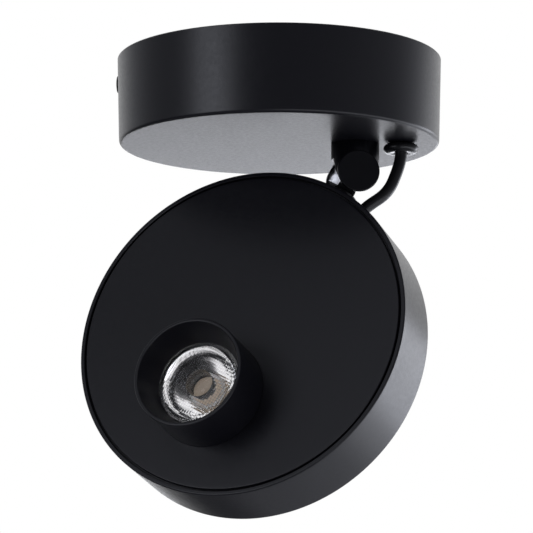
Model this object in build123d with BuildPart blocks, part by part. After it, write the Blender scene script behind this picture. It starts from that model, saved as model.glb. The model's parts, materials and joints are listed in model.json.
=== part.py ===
from build123d import *
from math import cos, radians, sin, sqrt, tan
import os

# Surface mounted ceiling spotlight: a flat drum canopy, a two-axis knuckle with a swivelling stem, and a
# flat round head with an off-centre snoot. Millimetres. The origin is the centre of the ceiling plane,
# +Z is up, and the knuckle and the lead stand on the +X side of the canopy.

# ---------------------------------------------------------------- driving dimensions
# Canopy shell
canopy_diameter = 100.0
canopy_height = 26.5
canopy_draft = 1.56          # degrees that the wall leans inwards towards the bottom
canopy_wall = 1.8
canopy_floor = 2.5
canopy_edge = 1.0            # radius along the bottom edge
canopy_rim_chamfer = 0.25
side_screw_drop = 6.5        # axis of the side screw below the ceiling
side_screw_seat = 0.9        # depth of the spot face for its head
lug_drop = 7.0               # top of the canopy's inner lug below the ceiling
lug_height = 2.0
lug_reach = 2.2
lug_width = 11.0

# Ceiling bracket
bracket_width = 24.0
bracket_sheet = 1.5
bracket_tab_height = 10.5
bracket_tab_width = 12.0
bracket_gap = 0.35           # between the bracket and the canopy wall
slot_spacing = 60.0
slot_length = 9.0
slot_width = 4.4
cable_entry = 16.0           # diameter of the hole for the house wiring

# Where the knuckle and the lead leave the canopy
lead_inset = 12.5            # from the canopy's edge
lead_spacing = 14.0          # from the lead to the knuckle

# Knuckle
knuckle_diameter = 14.8
pivot_drop = 9.7             # pivot below the canopy
collar_height = 5.1
upper_ear_radius = 6.45
upper_ear_root = 6.93        # half width of the upper ear where it meets the collar
upper_ear_front = 8.0        # front face of the upper ear, from the pivot's middle
ear_thickness = 3.45         # of the lower ear
ear_gap = 0.5                # between the two ears, filled by the friction disc
friction_disc_thickness = 0.4
lower_ear_radius = 5.0
lower_ear_heel = 2.9         # straight length of the lower ear's heel below the pivot
lower_ear_heel_foot = 5.9    # half width of the heel at its foot
lower_ear_toe = 2.9          # half width of the lower ear at its foot, on the lead's side
lower_ear_bevel = 0.6
heel_radius = 7.3            # reach of the heel from the pivot
heel_round = 0.35            # how far the heel's side has come in halfway down its curve
saddle_clearance = 0.3
shoulder_radius = 4.1
shoulder_top = 6.7           # top of the stem's shoulder, below the pivot
knuckle_edge = 0.4
pivot_gap = 8.7             # pivot to the head's rim
spigot_diameter = 10.0
spigot_length = 11.0
spigot_chamfer = 0.6
stem_diameter = 6.0
stem_inside = 11.2           # length of the stem inside the head's rim
stem_washer_radius = 4.6
stem_washer_shown = 0.8
stem_seat_depth = 0.3        # flat spot on the rim, under the stem's washer
pivot_screw_diameter = 4.0
pivot_screw_grip = 5.0       # depth of its thread in the upper ear
pivot_head_diameter = 7.0
pivot_head_height = 2.2
pivot_washer_thickness = 0.8
swivel_nut_flats = 14.0
swivel_nut_height = 5.0
swivel_washer_radius = 7.2
swivel_washer_thickness = 1.0
swivel_spring_thickness = 1.2
stem_nut_flats = 10.0
stem_nut_height = 5.0
stem_spring_thickness = 1.2
running_clearance = 0.05     # radial, between a shaft and its hole
seat_clearance = 0.1         # between pieces that only touch

# Rest pose, from straight down and square to the lead
pan_rest = 10.89
tilt_rest = 30.98
swivel_rest = -32.6

# Head housing and front plate
head_diameter = 105.0
head_thickness = 21.3
head_wall = 2.6
head_back = 2.5
head_edge = 0.6
lip_width = 1.3
plate_gap = 0.65             # the dark groove round the front plate
plate_thickness = 2.0
plate_edge = 0.3
cover_post_inset = 7.1       # cover screws, from the edge of the head
cover_post_diameter = 6.4
cover_screw_grip = 8.0
stem_pad_half_width = 6.0
stem_pad_half_depth = 6.4
stem_pad_thickness = 1.4     # flat pad inside the rim, under the stem's nut

# Snoot and optic
snoot_offset = 21.35         # from the middle of the plate
snoot_turn = 7.8             # degrees round the plate from the stem's line
snoot_diameter = 34.0
snoot_length = 17.2
snoot_lip = 1.1              # flat width of the rim
snoot_flange = 1.6
snoot_flange_rim = 3.5
lens_recess = 8.9
lens_diameter = 26.4
lens_ledge = 0.3             # how far the snoot's ledge covers the lens
lens_rim = 1.2
lens_depth = 11.0
lens_foot_radius = 5.5
lens_well_diameter = 8.5
lens_well_depth = 5.5
lens_cavity_depth = 0.9
holder_wall = 1.1
board_size = 17.0
board_thickness = 1.0
emitter_diameter = 9.0
emitter_height = 0.5
thermal_pad_thickness = 0.3
heat_sink_radius = 17.0
heat_sink_base = 2.5
heat_sink_core_radius = 8.0
heat_sink_top_radius = 12.2
heat_sink_top = 2.0
fin_count = 16
fin_thickness = 1.2
fin_drop = 1.2               # top of the fins below the mounting disc
sink_screw_grip = 5.5
snoot_screw_grip = 1.4
wire_notch_width = 4.2

# Lead
lead_diameter = 3.7
lead_clearance = 0.1
lead_exit_turn = 10.0         # degrees round the rim from the stem
lead_drop = 1.3              # from the gland to the lead's first corner
lead_upper_bow = (-1.1, -1.0, -4.0)  # from the first corner to the next
lead_reach = 2.0             # from the head's rim to the lead's last corner
lead_lower_bow = (5.9, 1.5, 4.6)     # from the last corner to the one before it
lead_inside_head = 8.0
lead_inside_canopy = 14.5
gland_flange_radius = 4.8
gland_flange = 3.2
gland_edge = 1.3
gland_neck_diameter = 7.0
gland_nut_flats = 11.0
gland_nut_height = 3.0
gland_neck_spare = 0.8       # thread that stands proud of the nut
lead_stop_radius = 4.0
lead_stop_height = 4.0
bush_flange_radius = 3.1
bush_flange = 0.7
bush_seat_depth = 0.1
bush_neck_radius = 2.5

# Driver, terminal block and wiring inside the canopy
wall_margin = 1.0            # between the wall and what stands beside it
driver_length = 50.0
driver_width = 21.0
driver_height = 15.0
driver_lid_thickness = 1.6
driver_shift = -1.0
block_length = 24.0
block_width = 15.0
block_height = 12.0
block_shift = -8.0
block_poles = 3
pole_pitch = 7.6
foot_height = 4.0            # screw bosses on the canopy floor
foot_radius = 3.2
foot_tab = 2.0
foot_tab_width = 7.5
earth_inset = 13.0
earth_boss_radius = 4.0
earth_tag_thickness = 0.8
wire_diameter = 1.3
led_wire_diameter = 0.9
wire_bend = 4.0
wire_hole_depth = 3.0        # of the wires' holes in the driver
wire_inserted = 2.5          # length of a wire in its hole
mains_wire_runs = (9.0, 10.0)        # straight out of the block, and into the driver
earth_wire_runs = (10.0, 12.0)       # straight out of the block, and into the tag
output_wire_rise = 6.5       # above the lead's end
output_wire_swing = (9.0, 2.0, 3.0)  # from the driver's end, its holes and their height
output_wire_run = 7.0        # straight into the driver
output_wire_spacing = 0.75
output_wire_bend = 2.0
led_wire_runs = (8.0, 9.0)   # straight out of the lead, and to the board
led_wire_spacing = 0.8
led_wire_bend = 3.5
case_round = 2.0             # corners of the driver
output_hole_spacing = 1.2    # from the driver's middle line
tab_overlap = 0.5            # of a foot's tab with its moulding
earth_tag_margin = 0.3       # the earth tag's eye inside its boss
stop_chamfer = 0.5
washer_margin = 0.6          # pivot washer outside the screw's head
board_hole_inset = 1.8
board_round = 1.0
lens_cone_bulge = (0.7, 0.4) # the cone's middle outside the straight line
lens_well_taper = 0.5
lens_foot_rim = 0.3
sink_taper = (3.0, 1.5)      # how far the fins' back corner is cut in and down
fin_cut_reach = 1.0          # cuts run past the surface they cut
fin_spare = 0.5
bush_grip = 0.6              # end of the bush inside the head's wall
lid_inset = 0.4
lid_chamfer = 0.5
block_round = 1.0            # corners of the terminal block
block_groove = 1.2
crimp_wall = 0.6
crimp_length = 4.5
crimp_entry = 1.0            # start of the wire in the crimp
crimp_gap = 2.5              # from the earth boss to the crimp
tag_width = 3.0
grub_recess = 0.6            # top of the clamping screws below the top of the block
grub_slot = (0.6, 0.9)       # width and depth

# Screws: thread, head diameter, head height
m2 = (2.0, 3.4, 1.2)
m25 = (2.5, 3.0, 1.1)
m3 = (3.0, 5.6, 1.6)
m3_countersunk = (3.0, 5.8, 1.6)
m4 = (4.0, 7.0, 2.4)

# ---------------------------------------------------------------- places worked out from them
draft = tan(radians(canopy_draft))
canopy_top_radius = canopy_diameter / 2
lead_offset = canopy_top_radius - lead_inset
knuckle_offset = lead_offset - lead_spacing
canopy_bottom_radius = canopy_top_radius - canopy_height * draft
floor_z = -canopy_height + canopy_floor
inner_radius = canopy_bottom_radius - canopy_wall
pivot_z = -canopy_height - pivot_drop
knuckle_radius = knuckle_diameter / 2
collar_z = pivot_drop - collar_height
saddle_radius = heel_radius + saddle_clearance
head_radius = head_diameter / 2
cover_post_circle = head_radius - cover_post_inset
front_z = head_thickness / 2
plate_radius = head_radius - lip_width - plate_gap
plate_back_z = front_z - plate_thickness
back_inner_z = -front_z + head_back
stem_pad_y = head_radius - head_wall - stem_pad_thickness
snoot_x = snoot_offset * sin(radians(snoot_turn))
snoot_y = -snoot_offset * cos(radians(snoot_turn))
snoot_radius = snoot_diameter / 2
snoot_mouth_z = front_z + snoot_length
snoot_flange_radius = snoot_radius + snoot_flange_rim
snoot_flange_z = plate_back_z - snoot_flange
snoot_screw_circle = snoot_flange_radius - m2[1] / 2
lens_radius = lens_diameter / 2
lens_z = snoot_mouth_z - lens_recess
board_z = lens_z - lens_depth - seat_clearance
thermal_pad_z = board_z - board_thickness
heat_sink_z = thermal_pad_z - thermal_pad_thickness
lead_radius = lead_diameter / 2
wire_radius = wire_diameter / 2
gland_neck_top = floor_z + gland_nut_height + gland_neck_spare
margin_radius = inner_radius - wall_margin
block_y = -sqrt(margin_radius**2 - (block_length / 2 - block_shift) ** 2) + block_width / 2
driver_y = sqrt(margin_radius**2 - (driver_length / 2 - driver_shift) ** 2) - driver_width / 2
earth_x = -inner_radius + earth_inset
pole_places = [block_shift + pole_pitch * (i - (block_poles - 1) / 2) for i in range(block_poles)]
pole_z = floor_z + block_height * 0.4
board_hole = board_size / 2 - board_hole_inset

# Frames of the moving bodies. Each starts at the pivot and is turned by its own joint.
upper_frame = Location((knuckle_offset, 0, pivot_z), (0, 0, pan_rest))
lower_frame = upper_frame * Location((0, 0, 0), (0, tilt_rest, 0))
swivel_frame = lower_frame * Location((0, 0, 0), (0, 0, swivel_rest))
# The head's own frame: Z out of the front plate, Y up the stem, X towards the lead.
head_frame = swivel_frame * Location((0, 0, -pivot_gap - head_radius), (90, 0, 0))
optic_frame = head_frame * Location((snoot_x, snoot_y, 0))
canopy_frame = Location((0, 0, 0))

os.makedirs("parts", exist_ok=True)


def write(builder, name, frame):
    """Labels a finished piece, sets it in its body's rest place and writes it."""
    builder.part.label = name
    placed = builder.part.moved(frame)
    placed.label = name
    export_step(placed, f"parts/{name}.step")


def round_head_screw(size, length):
    """A socket screw standing on its head's seat: head above the XY plane, thread below it."""
    thread, head, height = size
    with BuildPart() as screw:
        with BuildSketch():
            Circle(head / 2)
        extrude(amount=height)
        fillet(screw.faces().sort_by(Axis.Z)[-1].edges(), height * 0.35)
        with BuildSketch():
            Circle(thread / 2)
        extrude(amount=-length)
        with BuildSketch(Plane.XY.offset(height)):
            RegularPolygon(thread * 0.4, 6)
        extrude(amount=-height * 0.6, mode=Mode.SUBTRACT)
    return screw.part


def countersunk_form(size, length, clearance=0.0):
    """The outline of a countersunk screw, head flush with the XY plane and thread above it."""
    thread, head, height = size
    with BuildPart() as form:
        with BuildSketch(Plane.XZ):
            with BuildLine():
                Polyline(
                    (0, 0),
                    (head / 2 + clearance, 0),
                    (thread / 2 + clearance, height + clearance),
                    (thread / 2 + clearance, length + clearance),
                    (0, length + clearance),
                    close=True,
                )
            make_face()
        revolve(axis=Axis.Z)
    return form.part


def countersunk_screw(size, length):
    """A countersunk socket screw with its head flush with the XY plane and its thread above it."""
    thread, head, height = size
    with BuildPart() as screw:
        add(countersunk_form(size, length))
        with BuildSketch():
            RegularPolygon(thread * 0.35, 6)
        extrude(amount=height * 0.7, mode=Mode.SUBTRACT)
    return screw.part


def washer(inner, outer, bottom, thickness):
    """A flat ring on the Z axis."""
    with BuildPart() as ring:
        with BuildSketch(Plane.XY.offset(bottom)):
            Circle(outer)
            Circle(inner, mode=Mode.SUBTRACT)
        extrude(amount=thickness)
    return ring.part


def spring_washer(inner, outer, bottom, thickness):
    """A ring with the slanting split of a spring washer."""
    with BuildPart() as ring:
        add(washer(inner, outer, bottom, thickness))
        with BuildSketch(Plane.XZ.offset(inner * 0.8)):
            with Locations((0, bottom + thickness / 2)):
                Rectangle(0.6, 3 * thickness, rotation=30)
        extrude(amount=2 * outer, mode=Mode.SUBTRACT)
    return ring.part


def nut(inner, flats, bottom, height):
    """A hexagon nut on the Z axis with two of its flats across X."""
    corner = flats / sqrt(3)
    with BuildPart() as hexagon:
        with BuildSketch(Plane.XY.offset(bottom)):
            RegularPolygon(corner, 6, rotation=30)
            Circle(inner, mode=Mode.SUBTRACT)
        extrude(amount=height)
        with BuildSketch(Plane.XZ):
            slope = corner - flats / 2
            with BuildLine():
                Polyline(
                    (flats / 2, bottom + height),
                    (corner + seat_clearance, bottom + height),
                    (corner + seat_clearance, bottom + height - slope * 0.7),
                    close=True,
                )
            make_face()
        revolve(axis=Axis.Z, mode=Mode.SUBTRACT)
    return hexagon.part


def tubes(routes, radius, bends):
    """Round wires or leads: straight runs joined by tangent arcs."""
    with BuildPart() as run:
        for points in routes:
            with BuildLine(mode=Mode.PRIVATE) as route:
                FilletPolyline(*points, radius=bends)
            with BuildSketch(Plane(route.line @ 0, z_dir=route.line % 0)):
                Circle(radius)
            sweep(path=route.line)
    return run.part


# ================================================================ canopy body

# Canopy shell: a drawn aluminium cup, open towards the ceiling. Its wall leans in slightly, and its flat
# bottom carries the knuckle, the lead's gland and, on small bosses, the driver and the terminal block.
foot_places = [
    (driver_shift - driver_length * 0.3, driver_y - driver_width / 2 - foot_tab_width / 2),
    (driver_shift + driver_length * 0.1, driver_y - driver_width / 2 - foot_tab_width / 2),
    (block_shift - block_length / 2 - foot_tab_width / 2, block_y + block_width / 2 - foot_tab_width / 2),
]
side_screw_x = -canopy_top_radius + side_screw_drop * draft + side_screw_seat

with BuildPart() as canopy_shell:
    with BuildSketch(Plane.XZ):
        with BuildLine():
            Polyline(
                (0, -canopy_height),
                (canopy_bottom_radius, -canopy_height),
                (canopy_top_radius, 0),
                (canopy_top_radius - canopy_wall, 0),
                (inner_radius, floor_z),
                (0, floor_z),
                close=True,
            )
        make_face()
    revolve(axis=Axis.Z)
    bottom_edges = canopy_shell.edges().filter_by(GeomType.CIRCLE).group_by(Axis.Z)[0]
    fillet(bottom_edges, canopy_edge)
    chamfer(canopy_shell.edges().filter_by(GeomType.CIRCLE).group_by(Axis.Z)[-1], canopy_rim_chamfer)
    # inner lug that hooks over the bracket, opposite the side screw
    with BuildSketch(Plane.XY.offset(-lug_drop)):
        with Locations((canopy_top_radius - canopy_wall * 0.4 - lug_reach, 0)):
            Rectangle(2 * lug_reach, lug_width, align=(Align.MIN, Align.CENTER))
        Circle(canopy_top_radius - canopy_wall / 2, mode=Mode.INTERSECT)
    extrude(amount=-lug_height)
    # bosses for the driver, the terminal block and the earth screw
    with BuildSketch(Plane.XY.offset(floor_z)):
        with Locations(*foot_places):
            Circle(foot_radius)
        with Locations((earth_x, 0)):
            Circle(earth_boss_radius)
    extrude(amount=foot_height)
    with BuildSketch(Plane.XY.offset(floor_z + foot_height)):
        with Locations(*foot_places):
            Circle(m3[0] / 2 + running_clearance)
        with Locations((earth_x, 0)):
            Circle(m4[0] / 2 + running_clearance)
    extrude(amount=-foot_height, mode=Mode.SUBTRACT)
    # holes for the knuckle's spigot and the gland
    with BuildSketch(Plane.XY.offset(floor_z)):
        with Locations((knuckle_offset, 0)):
            Circle(spigot_diameter / 2 + running_clearance)
        with Locations((lead_offset, 0)):
            Circle(gland_neck_diameter / 2 + running_clearance)
    extrude(amount=-2 * canopy_floor, mode=Mode.SUBTRACT)
    # hole and spot face for the side screw
    with BuildSketch(Plane.YZ.offset(side_screw_x)):
        with Locations((0, -side_screw_drop)):
            Circle(m3[1] / 2 + seat_clearance)
    extrude(amount=-2 * canopy_wall, mode=Mode.SUBTRACT)
    with BuildSketch(Plane.YZ.offset(side_screw_x)):
        with Locations((0, -side_screw_drop)):
            Circle(m3[0] / 2 + seat_clearance)
    extrude(amount=2 * canopy_wall, mode=Mode.SUBTRACT)
write(canopy_shell, "canopy_shell", canopy_frame)

# Ceiling bracket: a pressed steel strip screwed to the ceiling through two slots. One end is bent down and
# tapped for the side screw, and the other is bent into a hook under the canopy's inner lug.
tab_inner_radius = canopy_top_radius - canopy_wall - bracket_tab_height * draft - bracket_gap
tab_x = sqrt(tab_inner_radius**2 - (bracket_tab_width / 2) ** 2)
hook_x = canopy_top_radius - canopy_wall * 0.4 - lug_reach - bracket_gap
hook_z = -lug_drop - lug_height - seat_clearance
with BuildPart() as ceiling_bracket:
    with BuildSketch():
        Rectangle(2 * tab_x, bracket_width)
        Circle(tab_inner_radius, mode=Mode.INTERSECT)
        with Locations((hook_x, 0)):
            Rectangle(bracket_width, 2 * bracket_width, align=(Align.MIN, Align.CENTER), mode=Mode.SUBTRACT)
        with Locations((slot_spacing / 2, 0), (-slot_spacing / 2, 0)):
            SlotOverall(slot_length, slot_width, mode=Mode.SUBTRACT)
        Circle(cable_entry / 2, mode=Mode.SUBTRACT)
    extrude(amount=-bracket_sheet)
    with BuildSketch(Plane.XZ.offset(-bracket_tab_width / 2)):
        with BuildLine():
            Polyline(
                (-tab_x, 0),
                (-tab_x, -bracket_tab_height),
                (-tab_x + bracket_sheet, -bracket_tab_height),
                (-tab_x + bracket_sheet, 0),
                close=True,
            )
        make_face()
        with BuildLine():
            Polyline(
                (hook_x, 0),
                (hook_x, hook_z),
                (tab_x, hook_z),
                (tab_x, hook_z - bracket_sheet),
                (hook_x - bracket_sheet, hook_z - bracket_sheet),
                (hook_x - bracket_sheet, 0),
                close=True,
            )
        make_face()
    extrude(amount=bracket_tab_width)
    outer_bends = ceiling_bracket.edges().filter_by(Axis.Y).group_by(Axis.Z)[-1]
    fillet(outer_bends, bracket_sheet * 0.6)
    with BuildSketch(Plane.YZ.offset(-tab_x)):
        with Locations((0, -side_screw_drop)):
            Circle(m3[0] / 2 + running_clearance)
    extrude(amount=bracket_sheet, mode=Mode.SUBTRACT)
write(ceiling_bracket, "ceiling_bracket", canopy_frame)

# Side screw: holds the canopy to the bracket's bent end.
side_screw = round_head_screw(m3, -side_screw_x - tab_x + 2 * bracket_sheet)
with BuildPart() as canopy_side_screw:
    with Locations(Location((side_screw_x, 0, -side_screw_drop), (0, -90, 0))):
        add(side_screw)
write(canopy_side_screw, "canopy_side_screw", canopy_frame)

# Terminal block: a moulded strip of three poles with a screwed foot. Each pole has a hole for a wire from
# either side and two clamping screws from above.
with BuildPart() as terminal_block:
    with BuildSketch(Plane.XY.offset(floor_z)):
        with Locations((block_shift, block_y)):
            Rectangle(block_length, block_width)
    extrude(amount=block_height)
    fillet(terminal_block.edges().filter_by(Axis.Z), block_round)
    grooves = [(x + pole_pitch / 2, block_y) for x in pole_places[:-1]]
    with BuildSketch(Plane.XY.offset(floor_z + block_height)):
        with Locations(*grooves):
            Rectangle(block_groove, block_width)
    extrude(amount=-block_height * 0.45, mode=Mode.SUBTRACT)
    with BuildSketch(Plane.XY.offset(floor_z + foot_height)):
        with Locations(foot_places[2]):
            Rectangle(foot_tab_width, foot_tab_width)
        with Locations((block_shift - block_length / 2 + tab_overlap, foot_places[2][1])):
            Rectangle(3.0, foot_tab_width)
    extrude(amount=foot_tab)
    with BuildSketch(Plane.XY.offset(floor_z + foot_height)):
        with Locations(foot_places[2]):
            Circle(m3[0] / 2 + seat_clearance)
    extrude(amount=foot_tab, mode=Mode.SUBTRACT)
    with BuildSketch(Plane.XZ.offset(-block_y - block_width / 2)):
        with Locations(*[(x, pole_z) for x in pole_places]):
            Circle(wire_radius + seat_clearance)
    extrude(amount=block_width, mode=Mode.SUBTRACT)
    screw_places = [(x, block_y + side * block_width / 4) for x in pole_places for side in (-1, 1)]
    with BuildSketch(Plane.XY.offset(floor_z + block_height)):
        with Locations(*screw_places):
            Circle(m3[0] / 2 + running_clearance)
    extrude(amount=-(floor_z + block_height - pole_z), mode=Mode.SUBTRACT)
write(terminal_block, "terminal_block", canopy_frame)

# Terminal screws: two slotted grub screws to each pole, just below the top of the block.
grub_top = floor_z + block_height - grub_recess
with BuildPart() as terminal_screws:
    with BuildSketch(Plane.XY.offset(grub_top)):
        with Locations(*screw_places):
            Circle(m3[0] / 2)
    extrude(amount=-(grub_top - pole_z - wire_radius - seat_clearance))
    with BuildSketch(Plane.XY.offset(grub_top)):
        with Locations(*screw_places):
            Rectangle(m3[0] + 1, grub_slot[0], rotation=35)
    extrude(amount=-grub_slot[1], mode=Mode.SUBTRACT)
write(terminal_screws, "terminal_screws", canopy_frame)

# Driver: a sealed moulded case on two screwed feet, closed by a lid. The mains wires enter its long side
# and the low voltage wires leave its end.
case_height = driver_height - driver_lid_thickness
driver_end_x = driver_shift + driver_length / 2
mains_entry_z = floor_z + driver_height * 0.5
with BuildPart() as driver_case:
    with BuildSketch(Plane.XY.offset(floor_z)):
        with Locations((driver_shift, driver_y)):
            RectangleRounded(driver_length, driver_width, case_round)
    extrude(amount=case_height)
    with BuildSketch(Plane.XY.offset(floor_z + foot_height)):
        with Locations(*[(x, y + tab_overlap) for x, y in foot_places[:2]]):
            Rectangle(foot_tab_width, foot_tab_width + 1)
    extrude(amount=foot_tab)
    with BuildSketch(Plane.XY.offset(floor_z + foot_height)):
        with Locations(*foot_places[:2]):
            Circle(m3[0] / 2 + seat_clearance)
    extrude(amount=foot_tab, mode=Mode.SUBTRACT)
    mains_entries = [driver_shift - driver_length * 0.12, driver_shift - driver_length * 0.04]
    with BuildSketch(Plane.XZ.offset(-driver_y + driver_width / 2)):
        with Locations(*[(x, mains_entry_z) for x in mains_entries]):
            Circle(wire_radius + seat_clearance)
    extrude(amount=-wire_hole_depth, mode=Mode.SUBTRACT)
    output_entries = [driver_y - output_hole_spacing, driver_y + output_hole_spacing]
    with BuildSketch(Plane.YZ.offset(driver_end_x)):
        with Locations(*[(y, mains_entry_z) for y in output_entries]):
            Circle(led_wire_diameter / 2 + seat_clearance)
    extrude(amount=-wire_hole_depth, mode=Mode.SUBTRACT)
write(driver_case, "driver_case", canopy_frame)

with BuildPart() as driver_lid:
    with BuildSketch(Plane.XY.offset(floor_z + case_height)):
        with Locations((driver_shift, driver_y)):
            RectangleRounded(driver_length - 2 * lid_inset, driver_width - 2 * lid_inset, case_round - lid_inset)
    extrude(amount=driver_lid_thickness)
    chamfer(driver_lid.faces().sort_by(Axis.Z)[-1].edges(), lid_chamfer)
write(driver_lid, "driver_lid", canopy_frame)

# Foot screws of the driver and the terminal block.
foot_screw = round_head_screw(m3, foot_tab + foot_height * 0.8)
with BuildPart() as foot_screws:
    with Locations(*[(x, y, floor_z + foot_height + foot_tab) for x, y in foot_places]):
        add(foot_screw)
write(foot_screws, "foot_screws", canopy_frame)

# Earth point: a ring tag with a crimped barrel under an M4 screw on a boss of the canopy.
tag_z = floor_z + foot_height
barrel_x = earth_x + earth_boss_radius + crimp_gap
barrel_z = tag_z + wire_radius + crimp_wall
with BuildPart() as earth_tag:
    with BuildSketch(Plane.XY.offset(tag_z)):
        with Locations((earth_x, 0)):
            Circle(earth_boss_radius - earth_tag_margin)
        with Locations(((earth_x + barrel_x) / 2, 0)):
            Rectangle(barrel_x - earth_x, tag_width)
        with Locations((earth_x, 0)):
            Circle(m4[0] / 2 + seat_clearance, mode=Mode.SUBTRACT)
    extrude(amount=earth_tag_thickness)
    with BuildSketch(Plane.YZ.offset(barrel_x)):
        with Locations((0, barrel_z)):
            Circle(wire_radius + crimp_wall)
    extrude(amount=crimp_length)
    with BuildSketch(Plane.YZ.offset(barrel_x)):
        with Locations((0, barrel_z)):
            Circle(wire_radius + running_clearance)
    extrude(amount=crimp_length, mode=Mode.SUBTRACT)
write(earth_tag, "earth_tag", canopy_frame)

earth_screw_form = round_head_screw(m4, earth_tag_thickness + foot_height * 0.8)
with BuildPart() as earth_screw:
    with Locations((earth_x, 0, tag_z + earth_tag_thickness)):
        add(earth_screw_form)
write(earth_screw, "earth_screw", canopy_frame)

# Wires: two from the terminal block to the driver, one to the earth tag, and two thin ones from the driver
# to the lead's upper end.
block_face_y = block_y + block_width / 2
driver_face_y = driver_y - driver_width / 2
wire_start_y = block_face_y - wire_inserted
with BuildPart() as mains_wires:
    add(
        tubes(
            [
                (
                    (x_from, wire_start_y, pole_z),
                    (x_from, block_face_y + mains_wire_runs[0], pole_z),
                    (x_to, driver_face_y - mains_wire_runs[1], mains_entry_z),
                    (x_to, driver_face_y + wire_inserted, mains_entry_z),
                )
                for x_from, x_to in zip(pole_places[1:], mains_entries)
            ],
            wire_radius,
            wire_bend,
        )
    )
write(mains_wires, "mains_wires", canopy_frame)

with BuildPart() as earth_wire:
    add(
        tubes(
            [
                (
                    (pole_places[0], wire_start_y, pole_z),
                    (pole_places[0], block_face_y + earth_wire_runs[0], pole_z),
                    (barrel_x + earth_wire_runs[1], 0, barrel_z),
                    (barrel_x + crimp_entry, 0, barrel_z),
                )
            ],
            wire_radius,
            wire_bend * 0.8,
        )
    )
write(earth_wire, "earth_wire", canopy_frame)

lead_top_z = -canopy_height + lead_inside_canopy
swing_x, swing_y, swing_z = output_wire_swing
with BuildPart() as output_wires:
    add(
        tubes(
            [
                (
                    (lead_offset + side, 0, lead_top_z),
                    (lead_offset + side, 0, lead_top_z + output_wire_rise),
                    (driver_end_x + swing_x + side, y_to - swing_y, mains_entry_z + swing_z),
                    (driver_end_x + output_wire_run, y_to, mains_entry_z),
                    (driver_end_x - wire_inserted, y_to, mains_entry_z),
                )
                for side, y_to in zip((-output_wire_spacing, output_wire_spacing), output_entries)
            ],
            led_wire_diameter / 2,
            output_wire_bend,
        )
    )
write(output_wires, "output_wires", canopy_frame)

# Gland: a round moulded bush under the canopy, held by a nut inside.
with BuildPart() as lead_gland:
    with BuildSketch(Plane.XZ):
        with BuildLine():
            Polyline(
                (lead_radius + lead_clearance, -canopy_height - gland_flange),
                (gland_flange_radius, -canopy_height - gland_flange),
                (gland_flange_radius, -canopy_height),
                (gland_neck_diameter / 2, -canopy_height),
                (gland_neck_diameter / 2, gland_neck_top),
                (lead_radius + lead_clearance, gland_neck_top),
                close=True,
            )
        make_face()
    revolve(axis=Axis.Z)
    gland_rim = lead_gland.edges().filter_by(GeomType.CIRCLE).group_by(Axis.Z)[0].sort_by(SortBy.RADIUS)[-1]
    fillet(gland_rim, gland_edge)
write(lead_gland, "lead_gland", Location((lead_offset, 0, 0)))

with BuildPart() as gland_nut:
    add(nut(gland_neck_diameter / 2 + running_clearance, gland_nut_flats, floor_z, gland_nut_height))
write(gland_nut, "gland_nut", Location((lead_offset, 0, 0)))

# Lead stop: a clamped ring on the lead inside the canopy, which takes a pull on the lead.
with BuildPart() as lead_stop:
    add(
        washer(
            lead_radius + running_clearance,
            lead_stop_radius,
            gland_neck_top + seat_clearance,
            lead_stop_height,
        )
    )
    chamfer(lead_stop.edges().filter_by(GeomType.CIRCLE).sort_by(SortBy.RADIUS)[-2:], stop_chamfer)
write(lead_stop, "lead_stop", Location((lead_offset, 0, 0)))

# Swivel washer, spring washer and nut on the knuckle's threaded spigot, inside the canopy.
spigot_hole = spigot_diameter / 2 + running_clearance
swivel_spring_z = floor_z + swivel_washer_thickness
swivel_nut_z = swivel_spring_z + swivel_spring_thickness
with BuildPart() as swivel_washer:
    add(washer(spigot_hole, swivel_washer_radius, floor_z, swivel_washer_thickness))
write(swivel_washer, "swivel_washer", Location((knuckle_offset, 0, 0)))

with BuildPart() as swivel_spring_washer:
    add(spring_washer(spigot_hole, swivel_washer_radius, swivel_spring_z, swivel_spring_thickness))
write(swivel_spring_washer, "swivel_spring_washer", Location((knuckle_offset, 0, 0)))

with BuildPart() as swivel_nut:
    add(nut(spigot_hole, swivel_nut_flats, swivel_nut_z, swivel_nut_height))
write(swivel_nut, "swivel_nut", Location((knuckle_offset, 0, 0)))

# Lead: a round flexible lead from the gland to the rim of the head, beside the knuckle. It is held at both
# ends, so its route is straight runs joined by arcs.
turn = radians(lead_exit_turn)


def rim_point(radius):
    """A point on the lead's line in the head, at this distance from the middle of the head."""
    place = head_frame * Location((radius * sin(turn), radius * cos(turn), 0))
    return place.position


first_corner = Vector(lead_offset, 0, -canopy_height - gland_flange - lead_drop)
last_corner = rim_point(head_radius + lead_reach)
lead_points = [
    Vector(lead_offset, 0, lead_top_z),
    first_corner,
    first_corner + Vector(*lead_upper_bow),
    last_corner + Vector(*lead_lower_bow),
    last_corner,
    rim_point(head_radius - lead_inside_head),
]
middle_run = (lead_points[3] - lead_points[2]).length
lead_rooms = [lead_drop, Vector(*lead_upper_bow).length / 2, middle_run / 2, lead_reach - bush_flange]
lead_bends = []
for before, corner, after, room in zip(lead_points, lead_points[1:], lead_points[2:], lead_rooms):
    lead_bends.append(0.9 * room / tan(radians((corner - before).get_angle(after - corner) / 2)))
with BuildPart() as lead:
    add(tubes([lead_points], lead_radius, lead_bends))
write(lead, "lead", canopy_frame)

# ================================================================ upper knuckle body

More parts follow.
